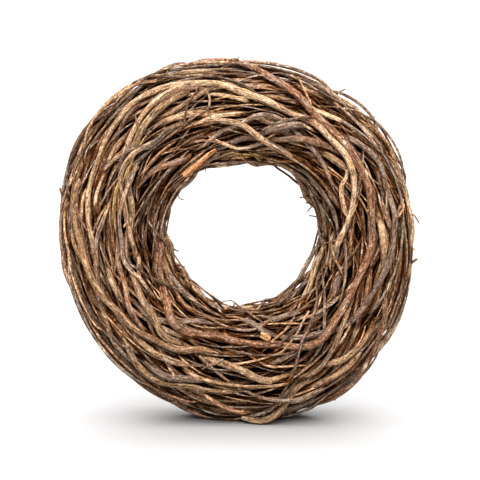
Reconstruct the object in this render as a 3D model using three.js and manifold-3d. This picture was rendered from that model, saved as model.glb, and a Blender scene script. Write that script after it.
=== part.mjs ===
/*
 * A grapevine wreath: a thick ring of dry canes, each wound up to once round a bundle of inner canes.
 *
 * The ring stands on its rim. Its axis runs along Y, its face looks to -Y, and Z is up. The origin lies on
 * the floor below the middle of the ring. Angles round the ring start at +X and turn towards +Z.
 *
 * Every cane is a loft through rings of points. Each ring lies in a half plane that ends on the ring's axis,
 * and the half planes stand at even steps round it. Where a cane passes through a half plane it has two
 * numbers: out, its distance outwards from the middle of the section, and back, its distance along +Y.
 * The canes first get rough places. Then they are pushed apart, pulled in and smoothed until they lie on one
 * another without cutting in, as canes do when a wreath is wound.
 */
import * as THREE from 'three';
import { LoftGeometry } from 'three/addons/geometries/LoftGeometry.js';
import { ParametricGeometry } from 'three/addons/geometries/ParametricGeometry.js';
import { mergeVertices } from 'three/addons/utils/BufferGeometryUtils.js';
import Module from 'manifold-3d';

const wasm = await Module();
wasm.setup();

const DEGREE = Math.PI / 180;
const TURN = 2 * Math.PI;

// The ring, in millimetres: where its axis lies, and its size before the canes settle
const AXIS_ACROSS = 5;
const AXIS_BACK = 4;
const AXIS_HEIGHT = 186;
const HOLE_RADIUS = 71;
const RIM_RADIUS = 179.5;
const RING_DEPTH = 92;

// Slow waves of the hole's and the rim's outline: how many in a turn, height, angle of the first crest
const HOLE_WAVES = [[1, 1.9, 42], [2, 1.6, -22], [3, 2, 38]];
const RIM_WAVES = [[1, 5, -115], [2, 4.3, -57], [3, 3.9, 29], [4, 2, 38]];

// The layer of canes round the inner bundle, the gap between canes, and how far the floor flattens them
const SKIN = 13;
const GAP = 0.4;
const FLOOR_BITE = 1.8;

// The half planes, and the sides of a cane
const SLICES = 36;
const STEP = TURN / SLICES;
const CANE_SIDES = 5;

// The inner bundle's strands, how often they twist in a turn, their relief, and its rings
const STRANDS = 10;
const STRAND_TWIST = 6;
const STRAND_DEPTH = 0.2;
const STRAND_SIDES = 3;
const BUNDLE_RINGS = 40;

// A cane's shape: how much a knot swells it, how far apart its knots are, and how much it tapers
const KNOT = 1.1;
const KNOT_STEPS = 4;
const TAPER = 0.3;

// The broken side shoot on each of the canes that show best
const STUB_ROOT = 1.7;
const STUB_TIP = 1.1;
const STUB_LENGTH = 5;
const STUB_LEAN = 0.8;

// The canes that the face shows best, each with its radius and points across and up from the ring's axis.
// It runs on at either end for so many steps, and turns so far round the section on the way.
const FACE_VINES = [
  {
    radius: 2.9,
    points: [[-70, -80], [-52, -75], [-28, -78], [6, -83], [38, -78], [61, -58], [84, -37], [91, 10],
      [86, 61], [67, 97], [37, 116], [14, 122]],
    before: [4, -0.1],
    after: [6, 0.15],
  },
  {
    radius: 3.2,
    points: [[-121, -7], [-116, -41], [-104, -73], [-97, -101], [-70, -125]],
    before: [6, 0.1],
    after: [6, -0.15],
  },
  {
    radius: 3.2,
    points: [[-138, -55], [-125, -74], [-106, -95], [-85, -115]],
    before: [5, -0.1],
    after: [6, 0.1],
  },
  {
    radius: 3.3,
    points: [[-72, 128], [-111, 103], [-129, 81], [-137, 64], [-138, 38], [-137, 0]],
    before: [5, -0.1],
    after: [8, 0.1],
  },
  {
    radius: 3.5,
    points: [[-134, -96], [-113, -110], [-95, -121], [-72, -131], [-38, -140], [6, -146]],
    before: [6, -0.15],
    after: [7, 0.1],
  },
  {
    radius: 3.3,
    points: [[146, -40], [155, -29], [156, -14], [152, 0], [145, 20], [136, 44], [124, 62]],
    before: [6, -0.2],
    after: [8, 0.15],
  },
  {
    radius: 4.0,
    points: [[-108, 38], [-106, 5], [-104, -31], [-97, -54], [-85, -78], [-58, -102], [-20, -118]],
    before: [5, -0.15],
    after: [7, -0.15],
  },
  {
    radius: 3.3,
    points: [[95, 89], [79, 102], [62, 114], [43, 126], [20, 138], [-4, 146], [-32, 152], [-50, 151],
      [-73, 138], [-97, 119]],
    before: [6, 0.15],
    after: [4, 0.1],
  },
  {
    radius: 3.4,
    points: [[105, -80], [122, -65], [139, -31], [142, 0], [143, 44], [136, 81], [120, 97], [100, 107]],
    before: [5, 0.2],
    after: [6, 0.2],
  },
  {
    radius: 4.3,
    points: [[-67, -84], [-28, -92], [18, -99], [62, -98], [91, -78], [112, -37], [132, 5], [126, 38],
      [119, 61], [97, 96], [72, 119]],
    before: [5, 0.15],
    after: [5, -0.25],
  },
  {
    radius: 3.2,
    points: [[-49, -144], [-28, -155], [6, -150], [40, -141], [75, -125]],
    before: [5, -0.1],
    after: [6, 0.1],
  },
  {
    radius: 3.3,
    points: [[6, 114], [-38, 118], [-56, 113], [-79, 100], [-90, 92], [-108, 90], [-119, 79], [-116, 60],
      [-112, 35]],
    before: [5, 0.1],
    after: [5, 0.05],
  },
  {
    radius: 2.4,
    points: [[-97, 85], [-104, 72], [-113, 50], [-118, 14], [-117, -20]],
    before: [2, 0],
    after: [5, 0.1],
  },
  {
    radius: 2.6,
    points: [[-140, -35], [-145, -52], [-139, -70], [-131, -83]],
    before: [3, 0.05],
    after: [6, -0.15],
  },
  {
    radius: 3.7,
    points: [[-169, 52], [-164, 31], [-159, 0], [-148, -25]],
    before: [0, 0],
    after: [8, 0.15],
  },
];

// Thin twigs that cross the face, given in the same way
const FACE_TWIGS = [
  { radius: 1.5, points: [[59, 125], [22, 99]], before: [0, 0], after: [0, 0] },
  { radius: 1.6, points: [[-116, -18], [-72, -40], [-58, -51]], before: [0, 0], after: [1, 0.02] },
  { radius: 1.5, points: [[96, -57], [93, -25], [90, 1]], before: [0, 0], after: [2, 0.02] },
  { radius: 1.5, points: [[41, -108], [55, -90], [67, -70]], before: [0, 0], after: [1, 0.02] },
];

// The canes wound under these and round the back: how many, radius, length in steps, and turns round the
// section in a turn round the ring
const THICK_VINES = { many: 14, radius: [3.3, 4.3], steps: [27, 34], winding: [-0.25, 0.25] };
const MEDIUM_VINES = { many: 18, radius: [2.3, 3.2], steps: [24, 34], winding: [-0.4, 0.4] };
const TWIGS = { many: 8, radius: [1.4, 1.9], steps: [5, 9], winding: [0.8, 1.6] };
const TWIG_FACES = [-0.1, 0.5];
const SWAY = [0.1, 0.3];
const SWAYS = 1.7;

// Neighbouring canes start this share of a turn from each other, and lie this much closer at the back
const GOLDEN_SHARE = 0.618034;
const BACK_SHARE = 0.45;
const SEED = 7;

// How the canes settle: how far apart their ranks start, how strongly they are drawn to their places, pulled
// in, bent smooth and pressed on the floor, and the rounds of all that and then of pushing apart alone
const RANK_HEIGHT = 0.9;
const LOOSE_HOLD = 0.04;
const FACE_HOLD = 0.25;
const PULL = 0.012;
const TUCKED_STEPS = 3;
const SMOOTHING = 0.3;
const SAG = 4;
const FLOOR_REACH = 16 * DEGREE;
const SHAPING_ROUNDS = 350;
const CLEARING_ROUNDS = 250;

const BARKS = { grey: 0x75675a, brown: 0x6b4a33, ochre: 0x8f6f4c, pale: 0xa58e70 };
const TWIG_BARK = 0x4f3826;
const INNER_BARK = 0x2c1f16;

/** Even random numbers from 0 to 1, the same ones each run. */
function seededRandom(seed) {
  let state = seed;
  return () => {
    state = (state + 0x6d2b79f5) | 0;
    let mixed = Math.imul(state ^ (state >>> 15), 1 | state);
    mixed = (mixed + Math.imul(mixed ^ (mixed >>> 7), 61 | mixed)) ^ mixed;
    return ((mixed ^ (mixed >>> 14)) >>> 0) / 2 ** 32;
  };
}

const random = seededRandom(SEED);
const between = (low, high) => low + (high - low) * random();
const wrap = (k) => ((k % SLICES) + SLICES) % SLICES;

/** The mean radius of an outline with its waves added, at an angle round the ring. */
function outline(mean, waves, angle) {
  const heights = waves.map(([count, height, crest]) => height * Math.cos(count * (angle - crest * DEGREE)));
  return heights.reduce((sum, height) => sum + height, mean);
}

/** The section at k steps round the ring: its middle's distance from the axis, and its half sizes. */
function sectionAt(k) {
  const angle = k * STEP;
  const inner = outline(HOLE_RADIUS, HOLE_WAVES, angle);
  const outer = outline(RIM_RADIUS, RIM_WAVES, angle);
  return { angle, middle: (inner + outer) / 2, halfWidth: (outer - inner) / 2, halfDepth: RING_DEPTH / 2 };
}

const sections = Array.from({ length: SLICES }, (_, k) => sectionAt(k));

/** A point in space, from its angle round the ring, its distance from the axis and its depth. */
function place(angle, radius, back) {
  return new THREE.Vector3(
    AXIS_ACROSS + radius * Math.cos(angle),
    AXIS_BACK + back,
    AXIS_HEIGHT + radius * Math.sin(angle),
  );
}

/**
 * The rings of one cane before it settles. `faces` holds, for each ring, the direction from the middle of
 * the section in which the cane lies: 0 at the rim, a quarter turn at the face, half a turn at the hole and
 * three quarters at the back. A higher rank lies further out.
 */
function makeRings(first, faces, radius, rank) {
  const knots = between(0, KNOT_STEPS);
  return faces.map((face, k) => {
    const knot = Math.floor(k + knots) % KNOT_STEPS === 0 ? KNOT : 1;
    const taper = 1 + TAPER * (0.5 - k / faces.length);
    const ring = { slice: wrap(first + k), face, radius: radius * taper * knot };
    const { halfWidth, halfDepth } = sections[ring.slice];
    const height = ring.radius + rank * RANK_HEIGHT - SKIN;
    ring.out = (halfWidth + height) * Math.cos(face);
    ring.back = -(halfDepth + height) * Math.sin(face);
    return ring;
  });
}

/** A cane that winds round the section at its own rate, swaying as it goes. */
function windingCane(kind, rank, start) {
  const steps = Math.round(between(...kind.steps));
  const first = Math.floor(between(0, SLICES));
  const way = random() < 0.5 ? -1 : 1;
  const winding = way * between(...kind.winding);
  const sway = between(...SWAY);
  const swayStart = between(0, TURN);
  const faces = Array.from({ length: steps + 1 }, (_, k) => {
    const turned = winding * (k - steps / 2) * STEP;
    return start * TURN + turned + sway * Math.sin(SWAYS * TURN * k / steps + swayStart);
  });
  const rings = makeRings(first, faces, between(...kind.radius), rank);
  return { rings, hold: LOOSE_HOLD, turn: between(0, TURN) };
}

/** Where the face's cane passes: the steps round the ring, and the direction on the section, of each point. */
function facePoints(points) {
  let last = Math.atan2(points[0][1], points[0][0]);
  return points.map(([across, up]) => {
    const angle = Math.atan2(up, across);
    last = angle + TURN * Math.ceil((last - angle) / TURN - 1e-6);
    const at = last / STEP;
    const { middle, halfWidth } = sectionAt(at);
    const out = THREE.MathUtils.clamp((Math.hypot(across, up) - middle) / halfWidth, -1, 1);
    return { at, face: Math.acos(out) };
  });
}

/** A cane that runs through given points of the face, in the order of their angles round the ring. */
function faceCane({ radius, points, before, after }, rank) {
  const stops = facePoints(points);
  const start = Math.round(stops[0].at);
  const end = Math.max(start + 1, Math.round(stops.at(-1).at));
  const faceAt = (at) => {
    const found = stops.findIndex((stop, k) => k > 0 && stop.at >= at);
    const next = found < 0 ? stops.length - 1 : found;
    const [a, b] = [stops[next - 1], stops[next]];
    return THREE.MathUtils.lerp(a.face, b.face, THREE.MathUtils.clamp((at - a.at) / (b.at - a.at), 0, 1));
  };
  const [stepsBefore, turnBefore] = before;
  const [stepsAfter, turnAfter] = after;
  const faces = [];
  for (let at = start - stepsBefore; at <= end + stepsAfter; at += 1) {
    const early = Math.max(0, start - at) / Math.max(1, stepsBefore);
    const late = Math.max(0, at - end) / Math.max(1, stepsAfter);
    faces.push(faceAt(at) + TURN * (early * turnBefore + late * turnAfter));
  }
  const rings = makeRings(start - stepsBefore, faces, radius, rank);
  return { rings, hold: FACE_HOLD, turn: between(0, TURN) };
}

/** All canes with their rough places: winding canes in a shuffled order of ranks, and the face's over them. */
function makeCanes() {
  const wound = THICK_VINES.many + MEDIUM_VINES.many;
  const order = Array.from({ length: wound }, (_, index) => ({ index, draw: random() }));
  order.sort((a, b) => a.draw - b.draw);
  const vines = order.map(({ index }, rank) => {
    const even = (index * GOLDEN_SHARE) % 1;
    const start = even + BACK_SHARE * Math.sin(TURN * (even - 0.25)) / TURN;
    return windingCane(index < THICK_VINES.many ? THICK_VINES : MEDIUM_VINES, rank, start);
  });
  FACE_VINES.forEach((vine, k) => vines.push({ ...faceCane(vine, wound + k), stub: true }));
  const twigs = FACE_TWIGS.map((twig, k) => faceCane(twig, vines.length + TWIGS.many + k));
  for (let k = 0; k < TWIGS.many; k += 1) {
    const start = THREE.MathUtils.lerp(...TWIG_FACES, k / (TWIGS.many - 1));
    twigs.push(windingCane(TWIGS, vines.length + k, start));
  }
  return { vines, twigs };
}

/** Moves two canes apart where they come closest between ring a or b and the next one, if that is too close. */
function separate(a, b, aNext, bNext) {
  const out0 = a.out - b.out;
  const back0 = a.back - b.back;
  const outStep = aNext.out - bNext.out - out0;
  const backStep = aNext.back - bNext.back - back0;
  const length = outStep ** 2 + backStep ** 2;
  const closest = length > 1e-9 ? -(out0 * outStep + back0 * backStep) / length : 0.5;
  const t = THREE.MathUtils.clamp(closest, 0, 1);
  const out = out0 + t * outStep;
  const back = back0 + t * backStep;
  const distance = Math.hypot(out, back);
  const radii = (1 - t) * (a.radius + b.radius) + t * (aNext.radius + bNext.radius);
  const short = radii + GAP - distance;
  if (short <= 0) {
    return;
  }
  const push = short / (2 * Math.max(distance, 1e-3) * ((1 - t) ** 2 + t ** 2));
  for (const [ring, share] of [[a, 1 - t], [aNext, t], [b, t - 1], [bNext, -t]]) {
    ring.out += share * push * out;
    ring.back += share * push * back;
  }
}

/** Pushes a ring out of the inner bundle and above the floor. */
function keepClear(ring) {
  const { angle, middle, halfWidth, halfDepth } = sections[ring.slice];
  const room = ring.radius + GAP - SKIN;
  const inside = Math.hypot(ring.out / (halfWidth + room), ring.back / (halfDepth + room));
  if (inside < 1) {
    ring.out /= inside;
    ring.back /= inside;
  }
  const down = -Math.sin(angle);
  if (down > 0.5) {
    ring.out = Math.min(ring.out, (AXIS_HEIGHT + FLOOR_BITE - ring.radius) / down - middle);
  }
}

/** Bends a cane smooth, draws it to its place on the section, and pulls it in, or down at the floor. */
function shape({ rings, hold }) {
  const last = rings.length - 1;
  const before = rings.map(({ out, back }) => ({ out, back }));
  rings.forEach((ring, k) => {
    const { halfWidth, halfDepth, angle } = sections[ring.slice];
    const inner = k > 0 && k < last;
    const ends = k === 0 ? [before[1], before[2]] : [before[last - 1], before[last - 2]];
    const [one, two] = inner ? [before[k - 1], before[k + 1]] : ends;
    const smoothOut = inner ? (one.out + two.out) / 2 : 2 * one.out - two.out;
    const smoothBack = inner ? (one.back + two.back) / 2 : 2 * one.back - two.back;
    ring.out += SMOOTHING * (smoothOut - ring.out);
    ring.back += SMOOTHING * (smoothBack - ring.back);

    const size = Math.hypot(ring.out / halfWidth, ring.back / halfDepth);
    const wantedOut = size * halfWidth * Math.cos(ring.face);
    const wantedBack = -size * halfDepth * Math.sin(ring.face);
    const pull = PULL * (1 + Math.max(0, TUCKED_STEPS - Math.min(k, last - k)));
    const overFloor = Math.max(0, 1 - (1 + Math.sin(angle)) / (1 - Math.cos(FLOOR_REACH)));
    const sag = SAG * overFloor * Math.max(0, ring.out / halfWidth);
    ring.out += hold * (wantedOut - ring.out) - pull * (1 - sag) * ring.out;
    ring.back += hold * (wantedBack - ring.back) - pull * ring.back;
  });
}

function settle(canes) {
  const slices = sections.map(() => []);
  for (const { rings } of canes) {
    rings.forEach((ring, k) => slices[ring.slice].push({ ring, next: rings[k + 1] }));
  }
  for (let round = 0; round < SHAPING_ROUNDS + CLEARING_ROUNDS; round += 1) {
    if (round < SHAPING_ROUNDS) {
      canes.forEach(shape);
    }
    for (const slice of slices) {
      slice.forEach((a, k) => {
        for (const b of slice.slice(k + 1)) {
          const both = a.next && b.next;
          separate(a.ring, b.ring, both ? a.next : a.ring, both ? b.next : b.ring);
        }
      });
    }
    for (const { rings } of canes) {
      rings.forEach(keepClear);
    }
  }
}

/** The corners of a cane's ring, in its half plane, turning from the rim's side towards +Y. */
function ringCorners({ slice, out, back, radius }, turn) {
  const { angle, middle } = sections[slice];
  return Array.from({ length: CANE_SIDES }, (_, corner) => {
    const around = turn + corner * TURN / CANE_SIDES;
    return place(angle, middle + out + radius * Math.cos(around), back + radius * Math.sin(around));
  });
}

/** A closed mesh as a solid that can be joined and cut. */
function toSolid(geometry) {
  const bare = new THREE.BufferGeometry().copy(geometry);
  bare.deleteAttribute('normal');
  bare.deleteAttribute('uv');
  const { attributes, index } = mergeVertices(bare, 1e-4);
  return new wasm.Manifold(new wasm.Mesh({
    numProp: 3,
    vertProperties: new Float32Array(attributes.position.array),
    triVerts: new Uint32Array(index.array),
  }));
}

function toGeometry(solid) {
  const { vertProperties, triVerts } = solid.getMesh();
  const geometry = new THREE.BufferGeometry();
  geometry.setAttribute('position', new THREE.BufferAttribute(vertProperties, 3));
  geometry.setIndex(new THREE.BufferAttribute(triVerts, 1));
  return geometry;
}

/** How far the tip of a side shoot on a ring would be from the other canes in this and the next slices. */
function roomAt(ring, canes) {
  const size = Math.hypot(ring.out, ring.back);
  const reach = 1 + (ring.radius + STUB_LENGTH) / size;
  const distances = canes.flatMap(({ rings }) => rings)
    .filter((other) => other !== ring && [-1, 0, 1].some((step) => wrap(ring.slice + step) === other.slice))
    .map(({ out, back, radius }) => Math.hypot(out - reach * ring.out, back - reach * ring.back) - radius);
  return Math.min(...distances);
}

/** A broken side shoot, rooted in the middle of the cane where it has most room. */
function makeStub({ rings }, canes) {
  const others = canes.filter((cane) => cane.rings !== rings);
  const choices = rings.slice(1, -1).map((ring) => ({ ring, room: roomAt(ring, others) }));
  const { ring } = choices.reduce((best, next) => (next.room > best.room ? next : best));
  const { angle, middle } = sections[ring.slice];
  const root = place(angle, middle + ring.out, ring.back);
  const outwards = place(angle, middle + 2 * ring.out, 2 * ring.back).sub(root).normalize();
  const along = new THREE.Vector3(-Math.sin(angle), 0, Math.cos(angle)).multiplyScalar(STUB_LEAN);
  const length = (ring.radius + STUB_LENGTH) * Math.hypot(1, STUB_LEAN);
  const stub = new THREE.CylinderGeometry(STUB_TIP, STUB_ROOT, length, CANE_SIDES);
  stub.translate(0, length / 2, 0);
  const up = new THREE.Vector3(0, 1, 0);
  stub.applyQuaternion(new THREE.Quaternion().setFromUnitVectors(up, outwards.add(along).normalize()));
  return stub.translate(root.x, root.y, root.z);
}

/** A cane as one closed body, with its side shoot, and cut flat where it stands on the floor. */
function caneGeometry(cane, canes) {
  const corners = cane.rings.map((ring) => ringCorners(ring, cane.turn));
  const loft = new LoftGeometry(corners, { capStart: true, capEnd: true });
  loft.computeBoundingBox();
  const onFloor = loft.boundingBox.min.z < 0;
  if (!cane.stub && !onFloor) {
    return loft;
  }
  let solid = toSolid(loft);
  if (cane.stub) {
    solid = solid.add(toSolid(makeStub(cane, canes)));
  }
  if (onFloor) {
    const depth = 10;
    const ground = new THREE.BoxGeometry(4 * RIM_RADIUS, 4 * RING_DEPTH, depth).translate(0, 0, -depth / 2);
    solid = solid.subtract(toSolid(ground));
  }
  return toGeometry(solid);
}

/** The inner bundle: a ring of strands that twist together, which the canes are wound on. */
function bundleGeometry() {
  const surface = (u, v, target) => {
    const { angle, middle, halfWidth, halfDepth } = sectionAt(u * SLICES);
    const face = -v * TURN;
    const groove = 0.5 - 0.5 * Math.cos(STRANDS * face + STRAND_TWIST * angle);
    const size = 1 - STRAND_DEPTH * groove;
    const out = (halfWidth - SKIN) * size * Math.cos(face);
    const back = (halfDepth - SKIN) * size * Math.sin(face);
    target.copy(place(angle, middle + out, back));
  };
  const geometry = new ParametricGeometry(surface, BUNDLE_RINGS, STRANDS * STRAND_SIDES);
  geometry.deleteAttribute('normal');
  geometry.deleteAttribute('uv');
  return mergeVertices(geometry, 1e-3);
}

const group = new THREE.Group();

function addMesh(name, geometry, color, roughness) {
  const mesh = new THREE.Mesh(geometry, new THREE.MeshStandardMaterial({ color, roughness, metalness: 0 }));
  mesh.name = name;
  group.add(mesh);
}

const { vines, twigs } = makeCanes();
const canes = [...vines, ...twigs];
settle(canes);

const numbered = (kind, k) => `${kind}_${String(k + 1).padStart(2, '0')}`;
const barks = Object.values(BARKS);
addMesh('inner_bundle', bundleGeometry(), INNER_BARK, 0.9);
vines.forEach((vine, k) => {
  addMesh(numbered('vine', k), caneGeometry(vine, canes), barks[k % barks.length], 0.82);
});
twigs.forEach((twig, k) => addMesh(numbered('twig', k), caneGeometry(twig, canes), TWIG_BARK, 0.85));

export default group;
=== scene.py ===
# %% [markdown]
# # A grapevine wreath
#
# Dry grapevine canes are wound over one another round an open hole, and the wreath stands on its rim.
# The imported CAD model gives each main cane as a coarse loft. This lesson reads the route of each cane back
# from its loft, grows a fine cane along it, lets thin canes settle between them, and gives all of them bark.

import math
import time

import bpy
import numpy as np
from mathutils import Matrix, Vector


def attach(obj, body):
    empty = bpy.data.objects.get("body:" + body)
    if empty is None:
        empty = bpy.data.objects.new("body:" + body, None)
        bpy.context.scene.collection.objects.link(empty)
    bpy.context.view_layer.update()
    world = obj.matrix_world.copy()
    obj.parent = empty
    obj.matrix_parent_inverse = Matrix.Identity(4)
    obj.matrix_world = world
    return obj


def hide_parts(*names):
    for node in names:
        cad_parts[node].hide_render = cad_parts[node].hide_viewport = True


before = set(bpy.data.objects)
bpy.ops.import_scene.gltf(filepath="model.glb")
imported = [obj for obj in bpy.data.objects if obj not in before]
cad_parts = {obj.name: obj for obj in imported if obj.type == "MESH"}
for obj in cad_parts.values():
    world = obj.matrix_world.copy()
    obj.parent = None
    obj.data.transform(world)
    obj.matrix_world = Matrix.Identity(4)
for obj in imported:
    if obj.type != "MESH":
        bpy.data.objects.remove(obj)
bpy.context.view_layer.update()

# %% [markdown]
# The camera comes first, so that each later step can be judged through it. The photograph was taken with a
# long lens from a little above the middle of the ring: a long lens keeps the far side of the ring nearly as
# large as the near side. The lens is worked out from the width that the picture should span at the ring.

# %% Camera
MM = 0.001
AXIS = np.array([5.0, 4.0, 186.0]) * MM
PICTURE_SPAN = 0.4775
CAMERA_DISTANCE = 1.7
CAMERA_ELEVATION = math.radians(9)
AIM = Vector((0.0035, 0.0, 0.1815))


def make_camera():
    """A camera on a slope in front of the ring, aimed at AIM, spanning PICTURE_SPAN at the ring's middle."""
    data = bpy.data.cameras.new("camera")
    data.sensor_width = 36
    data.lens = data.sensor_width * CAMERA_DISTANCE / PICTURE_SPAN
    camera = bpy.data.objects.new("camera", data)
    back = Vector((0, -math.cos(CAMERA_ELEVATION), math.sin(CAMERA_ELEVATION)))
    camera.location = AIM + CAMERA_DISTANCE * back
    camera.rotation_euler = back.to_track_quat("Z", "Y").to_euler()
    bpy.context.scene.collection.objects.link(camera)
    bpy.context.scene.camera = camera
    return camera


camera = make_camera()
print("lens", round(camera.data.lens), "mm")

# %% [markdown]
# A cane runs round the ring, so its route is easiest to hold in ring coordinates: the angle round the ring,
# the distance out from the ring's axis, and the depth behind the ring's middle plane. Each CAD loft has one
# ring of corners every ten degrees. The corners whose angle is a whole number of tens belong to these rings,
# and the middle of the circle through them is a point of the route. A round cane with as much wood as a
# five-sided solid has a little less radius than the solid's corners do, so the routes keep that share of it.

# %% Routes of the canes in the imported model
RINGS_A_TURN = 36
CORNERS = 5
NEAR_RING = 2e-4
ROUND_SHARE = math.sqrt(CORNERS / math.tau * math.sin(math.tau / CORNERS))


def circle_through(points):
    """The middle and radius of the circle that fits flat points best: |p|^2 = 2 p.middle + c, solved for
    the middle and c by least squares, and the radius from c."""
    sums = np.column_stack([2 * points, np.ones(len(points))])
    across, along, rest = np.linalg.lstsq(sums, (points**2).sum(1), rcond=None)[0]
    return across, along, math.sqrt(max(rest + across**2 + along**2, 0))


def route_of(node):
    """Rows of (angle, distance from the axis, depth, radius) along a node, in radians and metres. A corner
    belongs to a ring when its angle, in steps of a ring, is within NEAR_RING of a whole number."""
    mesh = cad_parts[node].data
    corners = np.empty(3 * len(mesh.vertices))
    mesh.vertices.foreach_get("co", corners)
    corners = corners.reshape(-1, 3) - AXIS
    out = np.hypot(corners[:, 0], corners[:, 2])
    turn = np.arctan2(corners[:, 2], corners[:, 0]) * RINGS_A_TURN / math.tau
    ring = np.rint(turn)
    on_ring = np.abs(turn - ring) < NEAR_RING
    ring = ring.astype(int) % RINGS_A_TURN
    found = {}
    for k in np.unique(ring[on_ring]):
        flat = np.column_stack([out, corners[:, 1]])[on_ring & (ring == k)]
        flat = np.unique(np.round(flat, 7), axis=0)
        if len(flat) >= CORNERS - 1:
            found[int(k)] = circle_through(flat)
    first = next(k for k in found if (k - 1) % RINGS_A_TURN not in found)
    order = [k for k in range(first, first + RINGS_A_TURN) if k % RINGS_A_TURN in found]
    rows = np.array([(math.tau * k / RINGS_A_TURN, *found[k % RINGS_A_TURN]) for k in order])
    rows[:, 3] *= ROUND_SHARE
    return rows


names = sorted(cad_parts)
vines = [name for name in names if name.startswith("vine")]
twigs = [name for name in names if name.startswith("twig")]
routes = {name: route_of(name) for name in vines + twigs}
lengths = [len(rows) for rows in routes.values()]
print(len(routes), "routes, of", min(lengths), "to", max(lengths), "rings")

# %% [markdown]
# A few dozen route points are too few for a smooth cane. A cubic curve through them gives as many as are
# wanted. It is drawn in ring coordinates, so that it bends round the ring between two points as it should.

# %% Fine points along a route
STEP = 3.0 * MM


def unit(vectors):
    """Each row divided by its length."""
    return vectors / np.linalg.norm(vectors, axis=1, keepdims=True)


def curve_through(rows, count):
    """A cubic through all rows: between two rows each column is the Hermite blend of both values and both
    slopes, and a slope is half the difference of a row's neighbours."""
    at = np.linspace(0, len(rows) - 1, count)
    low = np.minimum(at.astype(int), len(rows) - 2)
    f = (at - low)[:, None]
    slope = np.gradient(rows, axis=0)
    start = (1 + 2 * f) * (1 - f) ** 2 * rows[low] + f * (1 - f) ** 2 * slope[low]
    return start + f**2 * (3 - 2 * f) * rows[low + 1] - f**2 * (1 - f) * slope[low + 1]


def place(rows):
    """Points in space: out from the axis by the cosine and sine of the angle, and back by the depth."""
    angle, out, back = rows[:, 0], rows[:, 1], rows[:, 2]
    return AXIS + np.column_stack([out * np.cos(angle), back, out * np.sin(angle)])


def in_space(rows):
    """Rows of (angle, distance, depth, radius) as rows of (x, y, z, radius)."""
    return np.hstack([place(rows), rows[:, 3:]])


def fine(rows):
    """The route's curve with a point about every STEP along it."""
    length = np.linalg.norm(np.diff(place(rows), axis=0), axis=1).sum()
    return curve_through(rows, max(4, math.ceil(length / STEP)))


fine_routes = {name: fine(rows) for name, rows in routes.items()}
print("points on the main canes:", sum(len(rows) for rows in fine_routes.values()))

# %% [markdown]
# The section of the ring is an ellipse between the hole and the rim, whose outlines wave a little. Canes are
# looser outside it than inside, so this ellipse is also what holds the thin canes in.

# %% The ring's section
HOLE_RADIUS = 71 * MM
RIM_RADIUS = 179.5 * MM
HALF_DEPTH = 46 * MM
HOLE_WAVES = [(1, 1.9, 42), (2, 1.6, -22), (3, 2.0, 38)]
RIM_WAVES = [(1, 5.0, -115), (2, 4.3, -57), (3, 3.9, 29), (4, 2.0, 38)]


def outline(mean, waves, angle):
    """Mean radius plus each wave: its height times the cosine of its count times the angle from its
    crest."""
    return mean + sum(h * MM * np.cos(n * (angle - math.radians(crest))) for n, h, crest in waves)


def section(angle):
    """The section's middle, as a distance from the axis, and its half width."""
    inner = outline(HOLE_RADIUS, HOLE_WAVES, angle)
    outer = outline(RIM_RADIUS, RIM_WAVES, angle)
    return (inner + outer) / 2, (outer - inner) / 2


half_widths = section(np.radians([0, 90, 180, 270]))[1]
print("half widths at the four quarters, in mm:", np.round(half_widths / MM, 1))

# %% [markdown]
# Between the main canes of the real wreath run many thinner ones, which slip over one cane and under the
# next. They are found by settling. The ring is cut into slices of five degrees. In each slice a cane is a
# disc, which is pushed off every disc that it overlaps, drawn in towards the bundle, and kept in line with
# its own discs in the next slices. After enough rounds each cane has found a way between its neighbours. The
# canes that were wound on last start outside the ring and come down until they rest on the others.
#
# A kind of thin cane has a count, a span of radii in millimetres, a span of lengths in slices, the most that
# it winds round the section in one turn of the ring, and how many millimetres below the section's outline it
# starts. Some start only at one place round the section: 0 is the rim, a quarter the front, a half the hole.
# A kind that is drawn in with a lower share of the pull stays nearer the surface.

# %% Thin canes before they settle
SLICES = 72
SLICE = math.tau / SLICES
KINDS = {
    "over": {"many": 62, "radius": (1.5, 2.5), "slices": (12, 36), "winding": 1.5, "depth": (-11, -5)},
    "medium": {"many": 96, "radius": (1.3, 2.4), "slices": (14, 44), "winding": 1.2, "depth": (-3, 6)},
    "rim": {"many": 26, "radius": (1.3, 2.2), "slices": (9, 22), "winding": 0.2, "depth": (-4, 0),
            "turn": (-0.1, 0.1)},
    "hole": {"many": 34, "radius": (1.1, 2.0), "slices": (8, 20), "winding": 0.25, "depth": (-4, 0),
             "turn": (0.38, 0.62)},
    "thin": {"many": 330, "radius": (0.65, 1.35), "slices": (6, 22), "winding": 1.3, "depth": (-11, -4)},
    "inner": {"many": 56, "radius": (1.9, 3.4), "slices": (24, 60), "winding": 0.6, "depth": (10, 19)},
    "cross": {"many": 30, "radius": (1.3, 2.3), "slices": (7, 15), "winding": 2.4, "depth": (-12, -7)},
    "fine": {"many": 120, "radius": (0.9, 1.6), "slices": (9, 24), "winding": 1.4, "depth": (-10, -5)},
}
PULL_SHARES = {"over": 0.65, "medium": 0.65, "rim": 0.2, "hole": 0.2, "thin": 0.7, "inner": 1.0,
               "cross": 0.65, "fine": 0.4}
print(sum(kind["many"] for kind in KINDS.values()), "thin canes to come")

# %% [markdown]
# The main canes are firm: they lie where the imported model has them, and the thin ones make way for them. So
# they are cut into the same slices first, as discs that push but are never pushed.

# %% The main canes, cut into the same slices


def sliced(rows):
    """A main cane's discs: its curve read at every slice, and discs of no size where it isn't."""
    count = SLICES // RINGS_A_TURN * (len(rows) - 1) + 1
    halfway = curve_through(rows, count)
    at, size = np.zeros((SLICES, 2)), np.zeros(SLICES)
    k = (round(rows[0, 0] / SLICE) + np.arange(count)) % SLICES
    at[k] = halfway[:, 1:3]
    size[k] = halfway[:, 3]
    return at, size


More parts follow.
